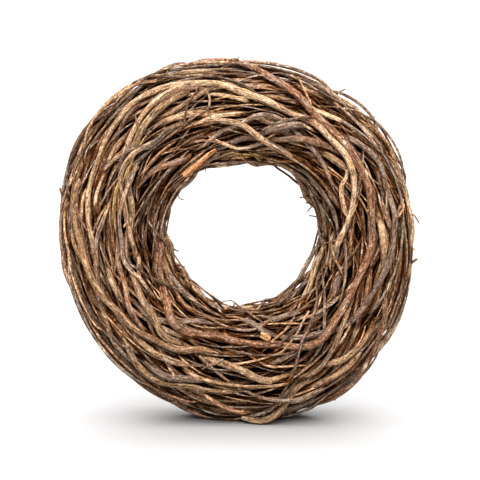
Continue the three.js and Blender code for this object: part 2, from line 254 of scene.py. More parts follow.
firm = [sliced(rows) for rows in routes.values()]
firm_at = np.stack([at for at, size in firm], axis=1)
firm_size = np.stack([size for at, size in firm], axis=1)
print("main canes in a slice:", (firm_size > 0).sum(1).min(), "to", (firm_size > 0).sum(1).max())

# %% [markdown]
# Canes dropped at random would leave bare patches. The person who winds a wreath puts the next cane where
# there is still room, so each one here is the best of a few tries: the try that has most room round it.

# %% Where the thin canes start
TRIES = 10
ROOM_CAP = 8 * MM
FAR_AWAY = 9.0


def one_try(kind, rng):
    """A cane as discs on the section's ellipse, drawn in by its depth. Its turn round the section grows
    evenly with the angle round the ring, plus a sine that makes it sway."""
    slices = int(rng.integers(*kind["slices"]))
    first = int(rng.integers(SLICES))
    steps = np.arange(slices)
    k = (first + steps) % SLICES
    winding = rng.uniform(-kind["winding"], kind["winding"])
    turn = rng.uniform(*kind.get("turn", (0, 1))) + winding * steps / SLICES
    swing = rng.uniform(0.2, 0.5) * steps + rng.uniform(0, 6)
    turn = math.tau * (turn + rng.uniform(0.01, 0.05) * np.sin(swing))
    depth = rng.uniform(*kind["depth"]) * MM
    mid, half = section(SLICE * k)
    at = np.column_stack([mid + (half - depth) * np.cos(turn), -(HALF_DEPTH - depth) * np.sin(turn)])
    return {"k": k, "at": at, "first": first, "slices": slices, "radius": rng.uniform(*kind["radius"]) * MM}


def scatter(kinds, rng):
    """All canes, kind by kind. The room round a try is the mean over its slices of the distance to the
    nearest disc there, counted up to ROOM_CAP. Where a cane has no disc, its place is FAR_AWAY."""
    many = firm_at.shape[1] + sum(kind["many"] for kind in kinds.values())
    at, size = np.full((SLICES, many, 2), FAR_AWAY), np.zeros((SLICES, many))
    at[:, : firm_at.shape[1]][firm_size > 0] = firm_at[firm_size > 0]
    column = firm_at.shape[1]
    chosen = {name: [] for name in kinds}
    for name, kind in kinds.items():
        for _ in range(kind["many"]):
            tries = [one_try(kind, rng) for _ in range(TRIES)]
            room = [np.minimum(np.sqrt(((at[one["k"]] - one["at"][:, None]) ** 2).sum(-1).min(1)),
                               ROOM_CAP).mean() for one in tries]
            best = tries[int(np.argmax(room))]
            at[best["k"], column] = best["at"]
            size[best["k"], column] = best["radius"]
            column += 1
            chosen[name].append(best)
    return at, size, chosen


start_at, start_size, chosen = scatter(KINDS, np.random.default_rng(11))
print({name: len(found) for name, found in chosen.items()}, "thin canes")

# %% [markdown]
# In a real winding each cane rests on those below it and bends only gently. A full simulation of bending
# rods would show that too, but takes far longer than a few rules on discs that are repeated over whole
# arrays: off the neighbours, in line with itself, in towards the middle, and back to where it was aimed. The
# last two fade out, so that the discs come to rest with hardly an overlap.

# %% Settle the thin canes
ROUNDS = 160
ROUNDS_A_LOOK = 8
LOOK_REACH = 3 * MM
GAP = 0.1 * MM
PUSH = 0.8
PROUD = 2 * MM
FACE_PROUD = 10 * MM
SMOOTHING = 0.35
CALMING = 0.6
PULL = 0.2 * MM
HOLD = 0.05
UNDERSIDE = 0.1


def near_pairs(at, size, reach):
    """The pairs of discs of one slice that are less than reach from touching, as two rows of numbers."""
    found = []
    for k in range(SLICES):
        live = np.flatnonzero(size[k] > 0)
        apart = ((at[k, live, None] - at[k, live]) ** 2).sum(-1)
        near = apart < (size[k, live, None] + size[k, live] + reach) ** 2
        found.append(k * size.shape[1] + live[np.stack(np.nonzero(np.triu(near, 1)))])
    return np.concatenate(found, axis=1)


def push_apart(at, size, loose_share, pairs):
    """Moves each pair that overlaps apart along the line between its middles, by PUSH of the overlap. The
    loose disc of a pair takes all of it, and two loose ones take half each."""
    flat, one, other = at.reshape(-1, 2), *pairs
    apart = flat[one] - flat[other]
    distance = np.hypot(*apart.T) + 1e-9
    overlap = np.clip(size.ravel()[one] + size.ravel()[other] + GAP - distance, 0, None)
    both = loose_share.ravel()[one] + loose_share.ravel()[other]
    move = PUSH * apart * (overlap / distance / np.maximum(both, 1))[:, None]
    for disc, way in ((one, 1), (other, -1)):
        for axis in (0, 1):
            shift = np.bincount(disc, way * move[:, axis], len(flat)).reshape(size.shape)
            at[..., axis] += shift * loose_share


def settle(start_at, size, pull, rounds):
    """All kinds settled together: push apart, line up, draw in by the pull of each cane, hold back towards
    the start square to that, so that a cane still winds, and keep inside the ellipse, which is let out by
    PROUD at the rim and the hole and by FACE_PROUD in front and behind. Below the ring a disc's distance
    from the axis is at most the floor's, less its radius, so that nothing sinks into the floor."""
    at = start_at.copy()
    free = np.broadcast_to(np.arange(size.shape[1]) >= firm_size.shape[1], size.shape).astype(float)
    between = (size > 0) & (np.roll(size, 1, 0) > 0) & (np.roll(size, -1, 0) > 0) & (free > 0)
    angle = SLICE * np.arange(SLICES)[:, None]
    mid, half = section(angle)
    down = np.maximum(-np.sin(angle), UNDERSIDE)
    lowest = np.where(np.sin(angle) < -UNDERSIDE, (AXIS[2] - size) / down, 1.0)
    for k in range(rounds):
        if k % ROUNDS_A_LOOK == 0:
            pairs = near_pairs(at, size, LOOK_REACH)
        calm = k / rounds
        push_apart(at, size, free, pairs)
        level = (np.roll(at, 1, 0) + np.roll(at, -1, 0)) / 2
        at += np.where(between[..., None], SMOOTHING * (1 - CALMING * calm) * (level - at), 0)
        out = at - np.stack([mid, 0 * mid], axis=-1)
        out /= np.linalg.norm(out, axis=-1, keepdims=True) + 1e-9
        back = start_at - at
        back -= (back * out).sum(-1, keepdims=True) * out
        at += free[..., None] * (1 - calm) * (HOLD * back - pull[:, None] * out)
        wide, deep = half + PROUD - size, HALF_DEPTH + FACE_PROUD - size
        far_out = np.hypot((at[..., 0] - mid) / wide, at[..., 1] / deep)
        shrink = np.where((far_out > 1) & (free > 0), 1 / np.maximum(far_out, 1), 1)
        at[..., 0] = np.where(free > 0, np.minimum(mid + shrink * (at[..., 0] - mid), lowest), at[..., 0])
        at[..., 1] *= shrink
    return at[:, firm_size.shape[1] :]


started = time.time()
pull = [np.zeros(firm_at.shape[1])]
pull += [np.full(len(found), PULL * PULL_SHARES[name]) for name, found in chosen.items()]
settled = settle(start_at, start_size, np.concatenate(pull), ROUNDS)
print("settled", settled.shape[1], "thin canes in", round(time.time() - started), "seconds")

# %% [markdown]
# A cane's discs become a route again. The end of a real cane hardly shows unless it has come loose, because
# it is pushed in between the others, so both ends of each route are tucked in here.

# %% Routes of the thin canes
THINNING = 0.2
TUCKED = 4.5 * MM
TUCK_LENGTH = 16 * MM


def route_rows(at, first, slices, radius):
    """The discs of one settled cane as rows of (angle, distance from the axis, depth, radius), which grows
    thinner by THINNING from end to end."""
    k = first + np.arange(slices)
    thin_end = radius * (1 - THINNING * np.linspace(0, 1, slices))
    return np.column_stack([SLICE * k, at[k % SLICES], thin_end])


def tucked(rows):
    """Rows of (angle, distance, depth, radius) with both ends tucked under the neighbours: over the last
    TUCK_LENGTH they draw to the section's middle by TUCKED and grow thinner by a third, times the square of
    the share of that length."""
    along = np.arange(len(rows)) * STEP
    share = np.clip(1 - np.minimum(along, along[::-1]) / TUCK_LENGTH, 0, 1)[:, None] ** 2
    inward = np.column_stack([section(rows[:, 0])[0], 0 * rows[:, 0]]) - rows[:, 1:3]
    moved = rows[:, 1:3] + TUCKED * share * unit(inward)
    return np.hstack([rows[:, :1], moved, rows[:, 3:] * (1 - share / 3)])


thin_routes = {}
column = 0
for name, found in chosen.items():
    thin_routes[name] = []
    for one in found:
        rows = route_rows(settled[:, column], one["first"], one["slices"], one["radius"])
        thin_routes[name].append(tucked(fine(rows)))
        column += 1
print({name: sum(map(len, rows)) for name, rows in thin_routes.items()}, "points")

# %% [markdown]
# Canes that lie closed in get a painted shade: the bark's colour is darkened the more other canes close a
# spot in and the deeper it lies in the ring, so how closed in a spot is must be known at every point. A field
# of distances tells it: on a grid over each slice it holds how far the nearest wood is. A step off the
# surface along its normal should come that much nearer to free air. Where the field grows by less than the
# step, other canes close the spot in.

# %% How open a spot lies, for the painted shade
CORE_DEPTH = 15 * MM
FIELD_STEP = 1 * MM
FIELD_HALF = 72
LOOKS_OUT = [(1.2 * MM, 0.4), (3 * MM, 0.3), (7 * MM, 0.2), (14 * MM, 0.1)]
SHADE_DEPTH = 24 * MM
OPEN_DEPTH = 3 * MM
OPEN_WIDTH = 3 * MM


def distance_field(at, size):
    """For each slice a grid over (distance from the section's middle, depth): the least distance to a disc's
    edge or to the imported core, which is the section's ellipse drawn in by CORE_DEPTH."""
    line = np.arange(-FIELD_HALF, FIELD_HALF + 1) * FIELD_STEP
    across, back = np.meshgrid(line, line, indexing="ij")
    mid, half = section(SLICE * np.arange(SLICES))
    field = np.empty((SLICES, len(line), len(line)), np.float32)
    for k in range(SLICES):
        live = size[k] > 0
        x, y = at[k, live].astype(np.float32).T
        apart = np.hypot(across[..., None].astype(np.float32) + np.float32(mid[k]) - x, back[..., None] - y)
        core = np.hypot(across / (half[k] - CORE_DEPTH), back / (HALF_DEPTH - CORE_DEPTH)) - 1
        field[k] = np.minimum((apart - size[k, live]).min(-1), core * (HALF_DEPTH - CORE_DEPTH))
    return field


def to_wood(points):
    """The field at points in space, mixed from the eight grid values round each. A point beyond the grid
    takes the value at its edge."""
    flat = points - AXIS
    angle = np.arctan2(flat[:, 2], flat[:, 0])
    across = np.hypot(flat[:, 0], flat[:, 2]) - section(angle)[0]
    where = [angle % math.tau / SLICE, across / FIELD_STEP + FIELD_HALF,
             flat[:, 1] / FIELD_STEP + FIELD_HALF]
    where[1:] = [np.clip(one, 0, 2 * FIELD_HALF - 1.001) for one in where[1:]]
    low = [one.astype(int) for one in where]
    share = [one - whole for one, whole in zip(where, low)]
    total = 0
    for corner in np.ndindex(2, 2, 2):
        k, i, j = (whole + step for whole, step in zip(low, corner))
        weight = np.prod([part if step else 1 - part for part, step in zip(share, corner)], axis=0)
        total = total + weight * field[k % SLICES, i, j]
    return total


def openness(points, normals):
    """From one in free air to none where closed in: the field at some steps off the surface, each as a share
    of its step and weighed, times how near the spot is to the outside of the ring. It sets the painted shade
    of the bark."""
    steps_out = [w * np.clip(to_wood(points + reach * normals) / reach, 0, 1) for reach, w in LOOKS_OUT]
    flat = points - AXIS
    mid, half = section(np.arctan2(flat[:, 2], flat[:, 0]))
    across = (np.hypot(flat[:, 0], flat[:, 2]) - mid) / (half - OPEN_WIDTH)
    far_out = np.hypot(across, flat[:, 1] / (HALF_DEPTH + OPEN_DEPTH))
    return sum(steps_out) * np.clip(1 - (1 - far_out) * HALF_DEPTH / SHADE_DEPTH, 0, 1)


started = time.time()
field = distance_field(np.concatenate([firm_at, settled], axis=1), start_size)
print("field of", field.size, "distances in", round(time.time() - started, 1), "seconds")

# %% [markdown]
# A cane is a tube whose section is carried along its path. What makes it a vine and not a cable is small: it
# bends a little at each node, swells there into a knot, is oval, and turns its oval as it goes. Short stubs
# of broken side shoots stand on some knots. Each point also keeps where it lies on the straight cane, across
# and along the wood, because the bark's fibres follow the wood and not the room, and how open it lies.

# %% A tube along a path


def square_to(tangent, facing):
    """For each tangent the direction square to it that leans most to facing, and the one square to both."""
    side = unit(facing - (facing * tangent).sum(1, keepdims=True) * tangent)
    return side, np.cross(tangent, side)


def tube(path, radius, turn, facing, slant):
    """A closed tube along a path. Its ring at each point is middle + radius (cos turn side + sin turn
    other), where side leans to facing and both are square to the path, and slant tilts its two ends. Returns
    its corners as path by turn, the middles of its ends, and its faces, four-cornered ones first."""
    tangent = unit(np.gradient(path, axis=0))
    side, other = square_to(tangent, facing)
    sides = len(turn)
    spoke = np.cos(turn)[:, None] * side[:, None] + np.sin(turn)[:, None] * other[:, None]
    corners = path[:, None] + radius[..., None] * spoke
    for end, lean in zip((0, -1), slant):
        corners[end] += tangent[end] * (lean * radius[end] * np.cos(turn))[:, None]
    ring = np.arange(len(path) * sides).reshape(len(path), sides)
    beside = np.roll(ring, -1, axis=1)
    quads = np.stack([ring[:-1], beside[:-1], beside[1:], ring[1:]], axis=-1).reshape(-1, 4)
    first, last = ring.size, ring.size + 1
    near = np.column_stack([np.full(sides, first), beside[0], ring[0]])
    far = np.column_stack([np.full(sides, last), ring[-1], beside[-1]])
    ends = np.stack([corners[0].mean(0), corners[-1].mean(0)])
    return corners, ends, quads, np.concatenate([near, far])


def outward(path):
    """From the middle of the ring's section to each point, for canes that lie on or in the ring."""
    flat = path - AXIS
    angle = np.arctan2(flat[:, 2], flat[:, 0])
    return path - place(np.column_stack([angle, section(angle)[0], 0 * angle]))


deep = np.linalg.norm(outward(place(fine_routes["vine_01"])), axis=1)
print("vine_01 lies up to", round(deep.max() / MM), "mm from the middle of the section")

# %% Bends, knots and swellings
OVAL = 0.12
CORNERED = 0.35 * OVAL
UNEVEN = 0.05
KNOT_REACH = 2.2
KNOT_GROWTH = 200


def bent(path, along, knots, facing, kink, rng):
    """The path with a step aside at each knot, by up to kink millimetres both ways square to it, and even
    changes between. Returns it with the tangents, sides and third directions of the path as it was."""
    aside = rng.uniform(-kink, kink, (2, len(knots))) * MM
    tangent = unit(np.gradient(path, axis=0))
    side, other = square_to(tangent, facing)
    path = path + side * np.interp(along, knots, aside[0])[:, None]
    path = path + other * np.interp(along, knots, aside[1])[:, None]
    return path, tangent, side, other


def knotty(along, knots, thick, rng):
    """How much of a knot each point is: e to the minus square of its distance from the nearest knot over
    the knot's reach, times the strength of that knot. It reaches KNOT_REACH millimetres, and further on a
    thick cane, by KNOT_GROWTH millimetres for each metre of its radius."""
    nearest = np.abs(along[:, None] - knots).argmin(1)
    bell = np.exp(-(((along - knots[nearest]) / (KNOT_REACH + KNOT_GROWTH * thick)) ** 2))
    return bell * (rng.uniform(0.2, 1, len(knots)) ** 2)[nearest]


def uneven(thick, along, knot, turn, swell, flat, rng):
    """The radius at each corner: the path's, times one plus a swelling round each knot and a slow wave,
    times one plus an oval and a three-cornered form that turn along the cane. On a flat strip it is also
    times the radius of an ellipse that is flat times as thick as it is wide."""
    wave = UNEVEN * np.sin(along / rng.uniform(9, 16) + rng.uniform(0, 6))
    lean = turn - rng.uniform(0, 6) - along[:, None] * rng.uniform(-0.02, 0.02)
    shape = 1 + OVAL * np.cos(2 * lean) + CORNERED * np.cos(3 * lean + along[:, None] / 30)
    shape *= flat / np.sqrt(np.cos(turn) ** 2 + (flat * np.sin(turn)) ** 2)
    return (thick * (1 + swell * knot + wave))[:, None] * shape


print("a knot on a cane 8 mm thick reaches", round(KNOT_REACH + KNOT_GROWTH * 4 * MM, 1), "mm both ways")

# %% One cane
SLANT = 0.7
GRAIN_SHIFT = 900
KNOT_CLEAR = 4


def cane(rows, sides, rng, facing=None, kink=1.0, swell=0.1, flat=1.0, spacing=(18, 55), look=None):
    """One cane along rows of (x, y, z, radius), all in metres, with knots spacing millimetres apart. Its
    grain is (across, across, along) in millimetres, from a start of its own, and its look is tone, warmth,
    knot and openness, the last of which sets its painted shade. Returns its arrays and the spots at its
    knots where a stub may stand, which are KNOT_CLEAR points or more from its ends."""
    path, thick = rows[:, :3], rows[:, 3]
    along = np.concatenate([[0], np.cumsum(np.linalg.norm(np.diff(path, axis=0), axis=1))]) / MM
    knots = np.cumsum(rng.uniform(*spacing, 2 + int(along[-1] / spacing[0]))) - rng.uniform(0, spacing[1])
    facing = outward(path) if facing is None else np.broadcast_to(facing, path.shape)
    path, tangent, side, other = bent(path, along, knots, facing, kink, rng)
    knot = knotty(along, knots, thick, rng)
    turn = math.tau * np.arange(sides) / sides
    radius = uneven(thick, along, knot, turn, swell, flat, rng)
    corners, ends, quads, fans = tube(path, radius, turn, facing, rng.uniform(-SLANT, SLANT, 2))
    across = radius / MM
    grain = np.stack([across * np.cos(turn), across * np.sin(turn), along[:, None] + 0 * across], axis=-1)
    points = np.concatenate([corners.reshape(-1, 3), ends])
    points[:, 2] = np.maximum(points[:, 2], 0)
    grain = np.concatenate([grain.reshape(-1, 3), [[0, 0, 0], [0, 0, along[-1]]]])
    grain += rng.uniform(0, GRAIN_SHIFT, 3)
    tone, warmth = rng.uniform(-1, 1, 2) if look is None else look
    looks = np.column_stack([np.full(knot.size, tone), np.full(knot.size, warmth), knot])
    looks = np.concatenate([np.repeat(looks, sides, axis=0), looks[[0, -1]]])
    normals = np.concatenate([unit((corners - path[:, None]).reshape(-1, 3)), [-tangent[0], tangent[-1]]])
    # The fourth look is how open the point lies, which sets its painted shade.
    looks = np.column_stack([looks, openness(points, normals)])
    cut = np.concatenate([np.zeros(len(quads)), np.ones(len(fans))])
    spots = [(path[k], tangent[k], side[k], other[k], thick[k]) for k in np.searchsorted(along, knots[1:-1])
             if KNOT_CLEAR < k < len(path) - KNOT_CLEAR]
    part = {"points": points, "quads": quads, "fans": fans, "grain": grain, "look": looks, "cut": cut}
    return part, spots


# %% Stubs of side shoots
STUB_TAPER = [1.15, 1.0, 0.95, 0.85]
STUB_SIDES = 6
STUB_LOOK = (-0.4, 0.4)


def stub(spot, rng):
    """A broken side shoot: a short, tapered, slanting cane that starts inside the knot that carries it."""
    at, along, side, other, thick = spot
    turn = rng.uniform(-1.0, 1.0)
    lean = rng.uniform(0.5, 1.1) * rng.choice([-1, 1])
    ahead = unit((math.cos(turn) * side + math.sin(turn) * other + lean * along)[None])[0]
    length = thick + rng.uniform(1.5, 6.0) * MM
    reach = np.linspace(0, length, len(STUB_TAPER))[:, None]
    width = thick * rng.uniform(0.3, 0.45) * np.array(STUB_TAPER)[:, None]
    rows = np.hstack([at + reach * ahead, width])
    return cane(rows, STUB_SIDES, rng, facing=along, kink=0, swell=0, spacing=(30, 60), look=STUB_LOOK)[0]


sample, sample_spots = cane(in_space(fine_routes["vine_01"]), 12, np.random.default_rng(5))
print("first cane:", len(sample["points"]), "points and", len(sample_spots), "knots")

# %% [markdown]
# Bark needs one material with many voices. Its fibres are noise that is stretched along the cane. Slower
# noise decides where the outer bark is weathered grey, and where it has peeled to the tan wood. Knots and
# cut ends have colours of their own. A small class makes the maths of the masks readable: it wraps a node's
# output and turns plus, minus and times into Math nodes.

# %% A shader in Python expressions


class Value:
    """A number that varies over the surface: a node's output on which plus, minus and times work."""

    def __init__(self, shader, socket):
        self.shader = shader
        self.socket = socket

    def __add__(self, other):
        return self.shader.maths("ADD", self, other)

    def __sub__(self, other):
        return self.shader.maths("SUBTRACT", self, other)

    def __rsub__(self, other):
        return self.shader.maths("SUBTRACT", other, self)

    def __mul__(self, other):
        return self.shader.maths("MULTIPLY", self, other)

    __radd__ = __add__
    __rmul__ = __mul__


def set_stops(elements, stops):
    """Gives a colour ramp one element for each stop, with the stop's place and colour."""
    while len(elements) < len(stops):
        elements.new(0.5)
    for element, (at, colour) in zip(elements, stops):
        element.position = at
        element.color = (*colour, 1)


class Shader:
    """The node tree of a material or of the world, with the few calls that the wreath needs."""

    def __init__(self, owner):
        owner.use_nodes = True
        self.tree = owner.node_tree
        self.tree.nodes.clear()

    def node(self, kind, settings=None, **inputs):
        """Adds a node, applies its settings or a ramp's stops, and then sets or links each input. An input
        goes by its name, or by the letter i and its number where several share a name."""
        made = self.tree.nodes.new("ShaderNode" + kind)
        for key, value in (settings or {}).items():
            if key == "stops":
                set_stops(made.color_ramp.elements, value)
            else:
                setattr(made, key, value)
        for key, value in inputs.items():
            socket = made.inputs[int(key[1:]) if key[1:].isdigit() else key]
            value = value.socket if isinstance(value, Value) else value
            if isinstance(value, bpy.types.NodeSocket):
                self.tree.links.new(value, socket)
            else:
                socket.default_value = value
        return made

    def attribute(self, name, output):
        """What a piece keeps under a name at each of its points or faces."""
        return self.node("Attribute", {"attribute_name": name}).outputs[output]

    def maths(self, operation, a, b):
        """A Math node on two values."""
        return Value(self, self.node("Math", {"operation": operation}, i0=a, i1=b).outputs[0])

    def noise(self, where, scale, detail=4, roughness=0.6):
        """Noise with about scale bumps in each unit of the vector."""
        inputs = {"Vector": where, "Scale": scale, "Detail": detail, "Roughness": roughness}
        return Value(self, self.node("TexNoise", **inputs).outputs["Fac"])

    def streaks(self, grain, across, along, scale, detail, roughness):
        """Noise on the grain vector times (across, across, along): less along makes longer streaks."""
        drawn = self.node("VectorMath", {"operation": "MULTIPLY"}, i0=grain, i1=(across, across, along))
        return self.noise(drawn.outputs[0], scale, detail, roughness)

    def step(self, value, low, high, top=1.0):
        """Zero below low, top above high, and smooth between."""
        inputs = {"Value": value, "From Min": low, "From Max": high, "To Max": top}
        return Value(self, self.node("MapRange", {"interpolation_type": "SMOOTHSTEP"}, **inputs).outputs[0])

    def blend(self, how_much, under, over, mode="MIX"):
        """One colour over another by a factor. A Mix node's colours are its sockets 6 and 7, and its mixed
        colour is its output 2."""
        settings = {"data_type": "RGBA", "blend_type": mode}
        return self.node("Mix", settings, i0=how_much, i6=under, i7=over).outputs[2]

    def ramp(self, value, stops):
        """Colours at stops of a value, with even changes between."""
        return self.node("ValToRGB", {"stops": stops}, Fac=value).outputs["Color"]


# %% [markdown]
# Each family of canes has three wood colours, a level at which it peels and one at which it weathers. Over
# them lie layers that are the same on all canes. They are listed in the order in which they are laid on: a
# mask, the most that it covers, and a colour, or colours that go with the wood's own light and dark.

# %% The bark's palettes
PALETTES = {
    "grey": {"dark": (0.040, 0.019, 0.009), "mid": (0.230, 0.180, 0.143), "light": (0.500, 0.430, 0.365),
             "peel": 0.52, "weather": 0.38},
    "brown": {"dark": (0.036, 0.014, 0.005), "mid": (0.230, 0.137, 0.086), "light": (0.510, 0.365, 0.270),
              "peel": 0.50, "weather": 0.50},
    "ochre": {"dark": (0.060, 0.024, 0.008), "mid": (0.410, 0.265, 0.155), "light": (0.720, 0.545, 0.385),
              "peel": 0.44, "weather": 0.56},
    "pale": {"dark": (0.078, 0.036, 0.015), "mid": (0.490, 0.355, 0.235), "light": (0.800, 0.665, 0.515),
             "peel": 0.46, "weather": 0.56},
    "twig": {"dark": (0.028, 0.012, 0.005), "mid": (0.180, 0.115, 0.076), "light": (0.430, 0.310, 0.225),
             "peel": 0.56, "weather": 0.48},
    # The inner bark is near black, darker than the canes' own wood: painted shade for canes seen only in deep
    # gaps.
    "inner": {"dark": (0.005, 0.002, 0.001), "mid": (0.034, 0.014, 0.005), "light": (0.115, 0.060, 0.030),
              "peel": 0.62, "weather": 0.47},
    "straw": {"dark": (0.150, 0.080, 0.025), "mid": (0.440, 0.300, 0.130), "light": (0.740, 0.570, 0.310),
              "peel": 0.70, "weather": 0.66},
    "split": {"dark": (0.240, 0.110, 0.045), "mid": (0.560, 0.320, 0.170), "light": (0.800, 0.540, 0.330),
              "peel": 0.80, "weather": 0.70},
}
PEELED = [(0.34, (0.17, 0.080, 0.036)), (0.5, (0.52, 0.345, 0.205)), (0.66, (0.78, 0.63, 0.47))]
WEATHERED = [(0.34, (0.045, 0.028, 0.018)), (0.5, (0.235, 0.195, 0.163)), (0.66, (0.52, 0.46, 0.41))]
CHALK = (0.80, 0.74, 0.66, 1)
RUST = (0.270, 0.105, 0.036, 1)
KNOT_BARK = (0.045, 0.018, 0.007, 1)
LAYERS = [("aged", 0.7, WEATHERED), ("bare", 0.75, PEELED), ("chalk", 0.35, CHALK),
          ("bleached", 0.6, CHALK), ("rust", 0.5, RUST), ("crack", 0.7, KNOT_BARK),
          ("dots", 0.75, KNOT_BARK), ("rings", 0.4, KNOT_BARK)]
PLAIN = (0.98, 0.945, 0.89, 1)
REDDISH = (1.17, 0.90, 0.74, 1)
TINTED = 0.6
CUT_WOOD = (0.62, 0.27, 0.085, 1)
# Painted shade: a ramp over how open a spot lies, from dark brown where it is closed in to a little over
# white in free air; the bark's colour is multiplied by it.
PAINTED_SHADES = [(0.13, (0.085, 0.026, 0.006)), (0.43, (0.51, 0.35, 0.21)), (0.74, (1.03, 1.03, 1.03))]
BUMP_HEIGHT = 0.0013
SHEEN = 0.06

print(len(PALETTES), "families and", len(LAYERS), "layers")

# %% The bark's masks


def bark_masks(shader, palette, grain, tone, knot):
    """How much of each feature of bark a spot has, from none to one: noise stretched along the cane, or a
    mix of such noises, stepped between two levels."""
    fibre = shader.streaks(grain, 1, 0.14, 0.42, 5, 0.7)
    thread = shader.streaks(grain, 1, 0.10, 1.7, 3, 0.6)
    patch = shader.streaks(grain, 0.5, 0.25, 0.16, 4, 0.6)
    scuff = shader.streaks(grain, 1, 0.55, 0.55, 5, 0.75)
    speck = shader.streaks(grain, 1, 0.7, 0.75, 3, 0.6)
    bleach = shader.streaks(grain, 1, 0.45, 0.16, 3, 0.55)
    flake = shader.streaks(grain, 1, 0.35, 0.26, 4, 0.65)
    furrow = shader.streaks(grain, 1, 0.08, 0.75, 2, 0.5)
    wood = fibre * 0.35 + thread * 0.1 + scuff * 0.55
    weather, peel = palette["weather"], palette["peel"]
    return {
        "wood": wood,
        "scuff": scuff,
        "aged": shader.step(patch + scuff * 0.25, weather + 0.10, weather + 0.26),
        "bare": shader.step(1 - patch + scuff * 0.3 + tone * 0.04, peel + 0.24, peel + 0.32),
        "chalk": shader.step(scuff, 0.56, 0.68) * shader.step(thread, 0.46, 0.58),
        "bleached": shader.step(bleach, 0.63, 0.70) * shader.step(wood, 0.38, 0.5),
        "rust": shader.step(flake, 0.54, 0.68),
        "crack": shader.step(furrow, 0.57, 0.64),
        "dots": shader.step(speck, 0.56, 0.63),
        "rings": shader.step(knot * 0.6 + scuff * 0.9, 0.72, 1.0),
    }


# %% The bark's colour


def bark_colour(shader, palette, masks, tone, warmth, cut, shade):
    """The palette over the wood, and each layer over that by its mask. Then the cane's warmth tints it and
    its tone makes it lighter or darker. A cut end shows fresh wood, and what lies deep between other canes
    is multiplied by a painted shade, which is darker and browner the deeper it lies."""
    stops = [(0.38, palette["dark"]), (0.50, palette["mid"]), (0.61, palette["light"])]
    colour = shader.ramp(masks["wood"], stops)
    for name, most, paint in LAYERS:
        over = shader.ramp(masks["wood"], paint) if isinstance(paint, list) else paint
        colour = shader.blend(masks[name] * most, colour, over)
    tint = shader.blend(shader.step(warmth, -1, 1), PLAIN, REDDISH)
    colour = shader.blend(TINTED, colour, shader.blend(1.0, colour, tint, "MULTIPLY"))
    toned = shader.node("HueSaturation", Color=colour, Value=tone * 0.36 + 1.18).outputs[0]
    colour = shader.blend(cut * shader.step(masks["scuff"], 0.25, 0.45), toned, CUT_WOOD)
    # The painted shade, from how open the point lies, with a little noise.
    painted_shade = shader.ramp(shade + masks["scuff"] * 0.3 - 0.05, PAINTED_SHADES)
    return shader.blend(1.0, colour, painted_shade, "MULTIPLY")


# %% The bark


def bark(name):
    """One family's bark. Its masks give the colour, and raise the surface too: fibres, scuffs and knots
    stand up, cracks and dots lie deep, and peeled wood lies a little lower than bark. Weathered and light
    wood is rougher than dark."""
    material = bpy.data.materials.new(name + "_bark")
    shader = Shader(material)
    parts = shader.node("SeparateXYZ", Vector=shader.attribute("look", "Vector")).outputs
    tone, warmth, knot = (Value(shader, part) for part in parts)
    shade, cut = (Value(shader, shader.attribute(key, "Fac")) for key in ("shade", "cut"))
    palette = PALETTES[name]
    masks = bark_masks(shader, palette, shader.attribute("grain", "Vector"), tone, knot)
    colour = bark_colour(shader, palette, masks, tone, warmth, cut, shade)
    height = masks["wood"] * 1.6 + masks["scuff"] * 0.5 - masks["crack"] * 0.5 - masks["dots"] * 0.25
    height = height - masks["bare"] * 0.2 + masks["rings"] * 0.3
    relief = shader.node("Bump", Strength=0.9, Distance=BUMP_HEIGHT, Height=height).outputs[0]
    rough = shader.step(masks["wood"] + masks["aged"] * 0.2, 0.2, 0.8, 0.3) + 0.55
    inputs = {"Base Color": colour, "Roughness": rough, "Normal": relief, "Specular IOR Level": SHEEN}
    skin = shader.node("BsdfPrincipled", **inputs)
    shader.node("OutputMaterial", Surface=skin.outputs[0])
    return material


barks = {name: bark(name) for name in PALETTES}
print("barks:", ", ".join(barks))

# %% [markdown]
# Many canes go into one mesh, so their arrays are joined first. The faces are written with their corners in
# one long list, which is the quickest way to give Blender a large mesh. The sides of a cane are shaded
# smooth and its cut ends flat.

# %% Arrays into a Blender piece


def joined(parts):
    """Parts as one: points after one another, and each part's faces moved on by the points before it."""
    before = np.concatenate([[0], np.cumsum([len(part["points"]) for part in parts])])
    one = {key: np.concatenate([part[key] for part in parts]) for key in ("points", "grain", "look")}
    for key in ("quads", "fans"):
        one[key] = np.concatenate([part[key] + shift for part, shift in zip(parts, before)])
    sides = [part["cut"][: len(part["quads"])] for part in parts]
    ends = [part["cut"][len(part["quads"]) :] for part in parts]
    one["cut"] = np.concatenate(sides + ends)
    return one


def piece(name, parts, material, slot, *nodes):
    """A piece of the wreath from its parts, with its grain and look on the points and its cut on the faces.
    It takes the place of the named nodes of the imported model."""
    one = joined(parts)
    sizes = np.concatenate([np.full(len(one["quads"]), 4), np.full(len(one["fans"]), 3)])
    mesh = bpy.data.meshes.new(name)
    mesh.vertices.add(len(one["points"]))
    mesh.vertices.foreach_set("co", one["points"].ravel())
    mesh.loops.add(int(sizes.sum()))
    mesh.loops.foreach_set("vertex_index", np.concatenate([one["quads"].ravel(), one["fans"].ravel()]))
    mesh.polygons.add(len(sizes))
    mesh.polygons.foreach_set("loop_start", np.concatenate([[0], np.cumsum(sizes)[:-1]]))
    mesh.polygons.foreach_set("use_smooth", one["cut"] < 0.5)
    for key, values in (("grain", one["grain"]), ("look", one["look"][:, :3])):
        mesh.attributes.new(key, "FLOAT_VECTOR", "POINT").data.foreach_set("vector", values.ravel())
    # The shade attribute carries the painted shade: how open each point lies.
    mesh.attributes.new("shade", "FLOAT", "POINT").data.foreach_set("value", one["look"][:, 3])
    mesh.attributes.new("cut", "FLOAT", "FACE").data.foreach_set("value", one["cut"])
    mesh.update(calc_edges=True)
    mesh.materials.append(material)
    made = bpy.data.objects.new(name, mesh)
    bpy.context.scene.collection.objects.link(made)
    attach(made, "root")
    if nodes:
        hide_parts(*nodes)
    return made
